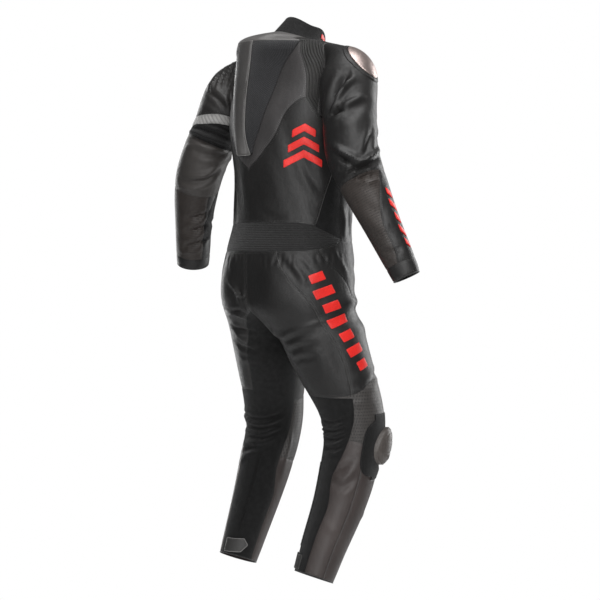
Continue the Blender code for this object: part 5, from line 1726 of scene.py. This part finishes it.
def build_hump(base):
    """The hump stands behind its base panel, highest at the ridge: cap, strip and mesh flanks."""
    base = base.main_body().refined()
    points = base.bank.points.copy()
    out, fwd, height = points[:, 0] / MM, -points[:, 1] / MM, points[:, 2] / MM + ORIGIN_HEIGHT
    share = np.clip(np.abs(out) / interp(HUMP_EDGE, height), 0, 1)
    ridge = np.maximum(fwd - interp(RIDGE_FWD, height), 0)
    rim = rim_edges(base.faces)
    rim = rim[height[rim].min(axis=1) > CAP_HEIGHT]
    closed = np.clip(seam_distance(base.bank.points, rim) / CAP_REACH, 0, 1)
    ridge = ridge * np.sqrt(closed * (2 - closed))          # down to the seam round the neck
    points[:, 1] += (HUMP_LIFT + ridge * (1 - share ** 2) ** HUMP_FULLNESS) * MM
    bank = Bank(points, surface_normals(points, base.faces))
    surface = Cloth(bank, base.faces, base.params.copy())
    cap, lower = surface.split(surface.corners()[2] - CAP_HEIGHT)
    out, _, height, _ = lower.corners()
    strip, rest = lower.split(interp(STRIP_HALF, height) - np.abs(out))
    out, _, height, _ = rest.corners()
    flanks = rest.split(np.abs(out) - interp(STRIP_HALF, height) - STRIP_CLEARANCE)[0]
    flank_pieces = {}
    add_sides(flank_pieces, "hump_mesh", flanks)
    for name, cloth in flank_pieces.items():
        cloth = cloth.main_body()
        mesh, _ = wall_mesh(name + "_panel", cloth, 0.0, WALL, panel_uv(name, cloth))
        add_piece(name + "_panel", mesh, "mesh", name)
    cap, strip = cap.main_body(), strip.main_body()
    stitch("hump_stitches", HUMP_ROW,
           add_shell("hump_cap_panel", cap, "hump_cap", 0.0, WALL + 0.6, 2.0, "pale_leather",
                     "hump_cap"),
           add_shell("hump_strip_panel", strip, "hump_strip", 0.0, STRIP_WALL, 3.2,
                     "strip_leather", "hump_strip"))
    piping("hump_strip_piping", strip.bank, long_lines(rim_edges(strip.faces)), "piping", 0.9, 0.9,
           STRIP_WALL - STRIP_PIPING_DEPTH)


# ---------------------------------------------------------------- plates, sliders and calf trim


def fine_patch(cloth, test):
    """The triangles of a cloth with every corner inside a test, refined for fine trim."""
    return cloth.pick(test.all(axis=1)).refined()


def from_plate(cloth, half):
    """Shares of an oval's half sizes, along and round the sleeve, from the middle of the plate."""
    turn = (cloth.params[..., 0] * 360 / SLEEVE_COLUMN_COUNT - PLATE_CENTRE[1] + 180) % 360 - 180
    return (cloth.params[..., 1] - PLATE_CENTRE[0]) / half[0], turn / half[1]


PLATE_SCALE = 40            # mm in half the plate
FRAME_SHARES = (1.2, 1.26)  # the frame's outer edge in half sizes of the plate
FRAME_HOLE = 1.03
FRAME_WALL = 2.2
PLATE_FINE = 1.6            # how far the cloth is refined round the plate, in half its size


def build_plate(pieces, side):
    """The metal shoulder plate in its stitched leather frame."""
    name = SIDE_NAME[side]
    sleeve = "sleeve_upper_" + name
    along, turn = from_plate(pieces[sleeve], PLATE_HALF)
    fine = fine_patch(pieces[sleeve], (np.abs(along) < PLATE_FINE) & (np.abs(turn) < PLATE_FINE))
    plate = fine.split(oval(*from_plate(fine, PLATE_HALF), PLATE_SCALE))[0]
    add_shell("shoulder_plate_%s_shell" % name, plate, sleeve, TRIM_GAP, TRIM_GAP + PLATE_WALL,
              1.6, "plate", "shoulder_plate_" + name)
    outer = tuple(size * share for size, share in zip(PLATE_HALF, FRAME_SHARES))
    inner = tuple(size * FRAME_HOLE for size in PLATE_HALF)
    ring = fine.split(oval(*from_plate(fine, outer), PLATE_SCALE))[0]
    ring = ring.split(-oval(*from_plate(ring, inner), PLATE_SCALE))[0]
    stitch("shoulder_stitches_" + name, FRAME_ROW,
           add_shell("shoulder_frame_" + name, ring, sleeve, TRIM_GAP, TRIM_GAP + FRAME_WALL, 1.2,
                     "leather"))


KNEE_PANELS = ("knee_", "shin_front_", "shin_outer_", "thigh_front_", "thigh_outer_")
KNEE_FIELD_SHARES = (1.06, 1.1)     # its half sizes in those of the base
KNEE_FIELD_POWER = 3                # how square its corners are
KNEE_FIELD_SCALE = 60               # mm in half the field
KNEE_TAB_SCALE = 48                 # mm in half the field's width
# The two tabs of the field: middle, half width in mm, how far it reaches in mm, up or down
KNEE_TABS = ((-0.02, 30, 84, 1), (0.12, 11, 80, -1))
KNEE_RING_HEIGHT = 320
KNEE_FINE = (2.1, 110)              # the refined cloth: columns and mm from the field's middle
PUCK_SCALE = 45
# Grooves moulded into the puck: place, width and depth
PUCK_RING = (0.80, 0.035, 1.3)
PUCK_BARS = ((15, 1.6, 1.1), (-15, 1.6, 1.1))
PUCK_BAR_END = 0.74


def groove(places, middle, width, depth):
    return depth * np.exp(-((places - middle) / width) ** 2)


def build_slider(pieces, side):
    """The hook-and-loop field on the knee with its two tabs, and the moulded puck on it."""
    name = SIDE_NAME[side]
    cloth = joined([pieces[piece + name] for piece in KNEE_PANELS])
    _, _, height, column = cloth.corners()
    fine = fine_patch(cloth, (np.abs(wrapped(column) - KNEE_BASE_CENTRE[0]) < KNEE_FINE[0])
                      & (np.abs(height - KNEE_BASE_CENTRE[1]) < KNEE_FINE[1]))
    _, _, height, column = fine.corners()
    across = (wrapped(column) - KNEE_BASE_CENTRE[0]) / KNEE_BASE_HALF[0]
    rise = height - KNEE_BASE_CENTRE[1]
    far = (np.abs(across / KNEE_FIELD_SHARES[0]) ** KNEE_FIELD_POWER
           + np.abs(rise / KNEE_BASE_HALF[1] / KNEE_FIELD_SHARES[1]) ** KNEE_FIELD_POWER)
    parts = [KNEE_FIELD_SCALE * (1 - far ** (1 / KNEE_FIELD_POWER))]
    parts += [np.minimum(half - np.abs(across - middle) * KNEE_TAB_SCALE,
                         np.minimum(way * rise, reach - way * rise))
              for middle, half, reach, way in KNEE_TABS]
    base = fine.split(np.max(parts, axis=0))[0].main_body()
    stitch("knee_stitches_" + name, FIELD_ROW,
           add_shell("knee_field_" + name, base, "knee", TRIM_GAP, TRIM_GAP + PATCH_WALL, 1.0,
                     "hook_loop", "knee_base_" + name))
    _, _, height, column = base.corners()
    puck = base.split(oval((wrapped(column) - PUCK_CENTRE[0]) / PUCK_HALF[0],
                           (height - PUCK_CENTRE[1]) / PUCK_HALF[1], PUCK_SCALE))[0]
    seat = 2 * TRIM_GAP + PATCH_WALL
    knee = [row for row in LEG_RINGS if row[2] == KNEE_RING_HEIGHT][0]
    centre = np.array(place(side, *knee[:3]))
    turn = 2 * math.pi * (SIDE_COLUMN - PUCK_CENTRE[0]) / LEG_COLUMN_COUNT
    axis = np.array((side * math.cos(turn), -math.sin(turn), 0.0))

    def dome(points, normals):
        seated = points + normals * seat * MM
        across = seated - centre
        across -= axis * (across @ axis)[:, None]
        share = np.clip(np.linalg.norm(across, axis=1) / (PUCK_HALF[1] * MM), 0, 1)
        depth = PUCK_EDGE + (PUCK_DEPTH - PUCK_EDGE) * np.sqrt(1 - share ** 2)
        depth -= groove(share, *PUCK_RING)
        for bar in PUCK_BARS:
            depth -= groove(across[:, 2] / MM, *bar) * (share < PUCK_BAR_END)
        return seated + axis * depth[:, None] * MM

    mesh, _ = wall_mesh("knee_slider_" + name, puck, seat, dome, panel_uv("knee", puck))
    add_piece("knee_slider_" + name, mesh, "slider", "knee_puck_" + name)


TOOTH_SLIM = 0.72           # how much slimmer a tooth is at its top


def teeth(line, facing, half, size, pitch):
    """Zip teeth in two rows that mesh along a line: boxes with bevelled ends."""
    spots = evenly(line, pitch)
    tree = point_tree(line)
    facings = facing[[tree.find(spot)[1] for spot in spots]]
    runs = np.gradient(spots, axis=0)
    runs /= np.linalg.norm(runs, axis=1, keepdims=True)
    across = np.cross(facings, runs)
    up = np.cross(runs, across)
    sign = np.where(np.arange(len(spots)) % 2 == 0, 1.0, -1.0)[:, None]
    middle = spots + across * sign * half * MM
    length, width, height = (value * MM / 2 for value in size)
    shape = np.array([(a, b, c) for c in (-1, 1) for b in (-1, 1) for a in (-1, 1)], dtype=float)
    slim = np.where(shape[:, 2:] > 0, TOOTH_SLIM, 1.0)
    corners = (middle[:, None] + across[:, None] * (shape[:, 0:1] * slim)[None] * length
               + runs[:, None] * (shape[:, 1:2] * slim)[None] * width
               + up[:, None] * shape[:, 2:][None] * height)
    quads = np.array(((0, 2, 3, 1), (4, 5, 7, 6), (0, 1, 5, 4),
                      (2, 6, 7, 3), (0, 4, 6, 2), (1, 3, 7, 5)))
    faces = np.concatenate([quads[:, (0, 1, 2)], quads[:, (0, 2, 3)]])
    faces = np.arange(len(spots))[:, None, None] * 8 + faces[None]
    return corners.reshape(-1, 3), faces.reshape(-1, 3)


CALF_TAPE_WALL = 1.0
CALF_TEETH = (0.9, (2.6, 1.1, 1.3), 1.6)        # half the rows' distance, a tooth's size, pitch
CALF_TEETH_LIFT = 1.9
FRONT_TEETH = (1.3, (3.6, 1.5, 1.6), 2.2)
FRONT_TEETH_LIFT = -0.6
TAB_INNER = TRIM_GAP + 1.2                      # above the calf zip's tape
TAB_OUTER = TAB_INNER + WALL
TAB_PIPING_DEPTH = 0.6
CALF_FINE = (1.6, 12)                           # refined columns beside the zip, mm above it
CALF_TOOTH_SPOTS = 60


def calf_strip(cloth, first, last, low, high):
    """The part of a calf between two columns and two heights."""
    _, _, height, column = cloth.corners()
    across = around(column, first, last, LEG_COLUMN_COUNT, LEG_COLUMN_WIDTH)
    return cloth.split(np.minimum(across, np.minimum(height - low, high - height)))[0]


def build_calf(pieces, side):
    """The calf zip and the ankle tab over its lower end."""
    name = SIDE_NAME[side]
    cloth = pieces["inner_stretch_" + name]
    _, _, height, column = cloth.corners()
    low, high = CALF_ZIP_HEIGHTS
    fine = fine_patch(cloth, (np.abs(column - CALF_ZIP_COLUMN) < CALF_FINE[0])
                      & (height < high + CALF_FINE[1]))
    half = CALF_ZIP_HALF / LEG_COLUMN_WIDTH
    tape = calf_strip(fine, CALF_ZIP_COLUMN - half, CALF_ZIP_COLUMN + half, low, high)
    mesh, _ = wall_mesh("calf_zip_%s_tape" % name, tape, TRIM_GAP, TRIM_GAP + CALF_TAPE_WALL,
                        panel_uv("inner_stretch", tape))
    add_piece("calf_zip_%s_tape" % name, mesh, "hook_loop", "calf_zip_" + name)
    rings = np.linspace(tape.params[..., 1].min(), tape.params[..., 1].max(), CALF_TOOTH_SPOTS)
    numbers = Address([tape], 0).find([(CALF_ZIP_COLUMN, ring) for ring in rings])
    facing = fine.bank.normals[numbers]
    line = smoothed(fine.bank.points[numbers] + facing * CALF_TEETH_LIFT * MM, 6)
    line_piece("calf_teeth_" + name, [teeth(line, facing, *CALF_TEETH)], "coil")
    low, high = ANKLE_TAB_HEIGHTS
    first, last = ANKLE_TAB_COLUMNS
    rise = np.abs(fine.corners()[2] - (low + high) / 2) / ((high - low) / 2)
    tab = calf_strip(fine, first, last + ANKLE_TAB_POINT * (1 - rise), low, high).main_body()
    stitch("ankle_stitches_" + name, TAB_ROW,
           add_shell("ankle_tab_%s_leather" % name, tab, "inner_stretch", TAB_INNER, TAB_OUTER,
                     1.0, "tab_leather", "ankle_tab_" + name))
    piping("ankle_piping_" + name, tab.bank, long_lines(rim_edges(tab.faces), 20),
           "piping" if side == LEFT else "cord", 0.9, 0.8, TAB_OUTER - TAB_PIPING_DEPTH)


def build_zip(tape):
    """The teeth of the front zip, along the middle of its tape."""
    numbers = np.unique(tape.faces)
    middle = numbers[np.abs(tape.bank.points[numbers, 0]) < 0.4 * MM]
    middle = middle[np.argsort(tape.bank.points[middle, 2])]
    line = tape.bank.points[middle] + tape.bank.normals[middle] * FRONT_TEETH_LIFT * MM
    keep = np.concatenate([[True], np.diff(line[:, 2]) > 0.5 * MM])
    line = smoothed(line[keep], 4)
    facing = tape.bank.normals[middle][keep]
    line_piece("zip_teeth", [teeth(line, facing, *FRONT_TEETH)], "zip_metal")


# mm from the cloth to its inner and outer face, and how far its edge is rounded
APPLIQUE_FACES = (0.75, 1.9, 0.7)


def applique(name, cloth, values):
    """A coloured leather shape sewn onto a panel."""
    add_shell(name, cloth.split(values)[0], "applique", *APPLIQUE_FACES, "red")


def slanted_bars(across, along, centres, height, half, slant):
    """Above 0 inside a row of slanted bars."""
    bars = [np.minimum(height / 2 - np.abs(along + slant * across - middle),
                       reach - np.abs(across))
            for middle, reach in zip(centres, half)]
    return np.max(bars, axis=0)


CHEVRON_CENTRE = (5.55, 1090)           # column, height
CHEVRONS = ((-48, 42), (-16, 34), (16, 26))         # the middle's lower edge, half width, in mm
CHEVRON_SLOPE = 0.6
CHEVRON_RISE = 19
CHEVRON_FINE = (1.1, 75, -50)           # refined columns and mm round the middle, and out less than
THIGH_LINE = ((500, 3.8), (603, 4.2), (690, 4.55), (770, 5.0))       # height, column
THIGH_BARS = np.arange(7) * 36.0 + 530
THIGH_BAR_HALF = (15, 21, 16, 22, 17, 22, 16)
THIGH_FINE = (0.9, 640, 150)            # refined columns beside the line, middle height, half height
FOREARM_BAR_CENTRE = (0.35, 6.1)        # column, ring
FOREARM_BARS = np.arange(5) * 17.0 + 362
FOREARM_BAR_HALF = (9, 12, 9, 12, 9)
FOREARM_BAR_SCALE = 40                  # mm of cloth in one column there
FOREARM_FINE = (0.8, 0.85)              # refined columns and rings round the middle
PATCH_CENTRE = (2.75, 9.6)              # column, ring
PATCH_HALF = (0.45, 0.16)
PATCH_SCALE = (30, 45)                  # mm in one column and in one ring
PATCH_OUT = -10


def build_appliques(pieces):
    """Plain red motifs: chevrons on the back, bars on a thigh and a forearm, a collar patch."""
    middle, level = CHEVRON_CENTRE
    out, _, height, column = pieces["lower_back"].corners()
    fine = fine_patch(pieces["lower_back"], (np.abs(column - middle) < CHEVRON_FINE[0])
                      & (np.abs(height - level) < CHEVRON_FINE[1]) & (out < CHEVRON_FINE[2]))
    _, _, height, column = fine.corners()
    across = np.abs((column - middle) * TORSO_COLUMN_WIDTH)
    rise = height - level + across * CHEVRON_SLOPE
    applique("back_chevrons", fine, np.max([
        np.minimum(np.minimum(rise - low, CHEVRON_RISE - (rise - low)), reach - across)
        for low, reach in CHEVRONS], axis=0))

    _, _, height, column = pieces["thigh_outer_right"].corners()
    fine = fine_patch(pieces["thigh_outer_right"],
                      (np.abs(column - interp(THIGH_LINE, height)) < THIGH_FINE[0])
                      & (np.abs(height - THIGH_FINE[1]) < THIGH_FINE[2]))
    _, _, height, column = fine.corners()
    across = (column - interp(THIGH_LINE, height)) * LEG_COLUMN_WIDTH
    applique("thigh_bars_right", fine,
             slanted_bars(across, height, THIGH_BARS, 21, THIGH_BAR_HALF, 0.4))

    def round_sleeve(cloth):
        column = wrapped(cloth.params[..., 0], SLEEVE_COLUMN_COUNT / 2, SLEEVE_COLUMN_COUNT)
        return column - FOREARM_BAR_CENTRE[0]

    cloth = pieces["forearm_front_right"]
    fine = fine_patch(cloth, (np.abs(round_sleeve(cloth)) < FOREARM_FINE[0])
                      & (np.abs(cloth.params[..., 1] - FOREARM_BAR_CENTRE[1]) < FOREARM_FINE[1]))
    across, along = round_sleeve(fine) * FOREARM_BAR_SCALE, fine.params[..., 1] * SLEEVE_RING_LENGTH
    applique("forearm_bars_right", fine,
             slanted_bars(across, along, FOREARM_BARS, 9.5, FOREARM_BAR_HALF, -0.4))

    fine = fine_patch(pieces["collar"], pieces["collar"].corners()[0] < PATCH_OUT)
    inside = (np.array(PATCH_HALF) - np.abs(fine.params - PATCH_CENTRE)) * PATCH_SCALE
    applique("collar_patch", fine, inside.min(axis=-1))


# Piping sewn into seams: name, the two panels, half its width and its height in mm
SEAM_PIPING = (
    ("armhole", "sleeve_upper_", "accordion_", 1.0, 0.9),
    ("side", "side_", "lower_back", 0.7, 0.6),
    ("shin", "shin_outer_", "shin_front_", 0.8, 0.8),
    ("seat", "seat_", "thigh_outer_", 0.7, 0.7),
)


def build_trim(pieces):
    for side in (LEFT, RIGHT):
        build_plate(pieces, side)
        build_slider(pieces, side)
        build_calf(pieces, side)
    build_zip(pieces["zip_tape"])
    build_appliques(pieces)
    bindings(pieces)
    for side in SIDE_NAME.values():
        for name, first, second, width, rise in SEAM_PIPING:
            first, second = (pieces[panel + side if panel.endswith("_") else panel]
                             for panel in (first, second))
            piping("%s_piping_%s" % (name, side), first.bank, shared_lines(first, second), "cord",
                   width, rise)


# ---------------------------------------------------------------- floor, light and camera

CAMERA_POSITION = (-2.8475, 2.3632, -0.554)
CAMERA_AIM = (0.766 * 3.7, -0.643 * 3.7, -0.1)
CAMERA_LENS = 85.97


SHOWN_MIDDLE = Vector((0, 0, -0.6))
TO_CAMERA = Vector((-0.766, 0.643, 0))
TO_RIGHT = Vector((-0.643, -0.766, 0))
# Lamps, all aimed at the middle: metres towards the camera, to its right and up, size and power
LAMPS = (
    ("rim_right", -1.7, 2.1, 0.3, (0.9, 2.8), 50),
    ("rim_left", -2.5, -1.7, 0.3, (0.9, 2.8), 38),
    ("overhead", 0.9, 0.3, 2.8, (2.0, 2.0), 62),
    ("key", 2.9, 0.9, 1.3, (1.6, 1.8), 50),
    ("side_fill", 2.5, -1.5, 0.1, (1.6, 2.0), 10),
    ("fill", 3.0, 0.1, -0.1, (1.0, 1.8), 23),
)
FLOOR_RADIUS = 1.7
FLOOR_HEIGHT = -1.85
FLOOR_SIDES = 96


def set_down(name, data, position, facing):
    """A new object in the scene that looks along a direction."""
    made = bpy.data.objects.new(name, data)
    made.location = position
    made.rotation_euler = Vector(facing).to_track_quat("-Z", "Y").to_euler()
    bpy.context.scene.collection.objects.link(made)
    return made


def build_stage():
    mesh = bpy.data.meshes.new("floor")
    turns = np.linspace(0, 2 * np.pi, FLOOR_SIDES, endpoint=False)
    mesh.from_pydata([(FLOOR_RADIUS * math.cos(turn), FLOOR_RADIUS * math.sin(turn), FLOOR_HEIGHT)
                      for turn in turns], [], [range(FLOOR_SIDES)])
    floor = bpy.data.objects.new("floor", mesh)
    bpy.context.scene.collection.objects.link(floor)
    pale = Look("floor_pale", Roughness=0.8)
    pale.colour(pale.blend(pale.noise(3.0), (0.84, 0.84, 0.84), (0.88, 0.88, 0.88)))
    mesh.materials.append(pale.material)

    for name, near, right, up, size, power in LAMPS:
        light = bpy.data.lights.new(name, "AREA")
        light.shape = "RECTANGLE"
        light.size, light.size_y = size
        light.energy = power
        position = SHOWN_MIDDLE + TO_CAMERA * near + TO_RIGHT * right + Vector((0, 0, up))
        set_down(name, light, position, SHOWN_MIDDLE - position)

    world = bpy.data.worlds.new("studio")
    bpy.context.scene.world = world
    world.use_nodes = True
    tree = world.node_tree
    ground = tree.nodes["Background"]
    seen = tree.nodes.new("ShaderNodeBackground")
    seen.inputs["Color"].default_value = (1, 1, 1, 1)
    ground.inputs["Color"].default_value = (0.96, 0.98, 1, 1)
    ground.inputs["Strength"].default_value = 0.14
    path = tree.nodes.new("ShaderNodeLightPath")
    mixed = tree.nodes.new("ShaderNodeMixShader")
    tree.links.new(path.outputs["Is Camera Ray"], mixed.inputs[0])
    tree.links.new(ground.outputs[0], mixed.inputs[1])
    tree.links.new(seen.outputs[0], mixed.inputs[2])
    tree.links.new(mixed.outputs[0], tree.nodes["World Output"].inputs["Surface"])

    camera = bpy.data.cameras.new("camera")
    camera.lens = CAMERA_LENS
    camera.sensor_width = 36.0
    camera.clip_end = 30.0
    bpy.context.scene.camera = set_down("camera", camera, CAMERA_POSITION, CAMERA_AIM)
    bpy.context.scene.view_settings.view_transform = "Standard"


# ---------------------------------------------------------------- the cloth's cut


def main():
    pieces, whole, part = cut_everything()
    sculpt(pieces, whole, part)
    shapes = make_panels(pieces)
    build_hump(pieces["back_centre"])
    build_trim(pieces)
    for node in ("zip_slider", "zip_pull"):
        mesh = frame["nodes"][node].data
        mesh.materials.clear()
        mesh.materials.append(MATERIALS["zip_metal"])
    build_stitches(shapes)
    build_stage()


main()
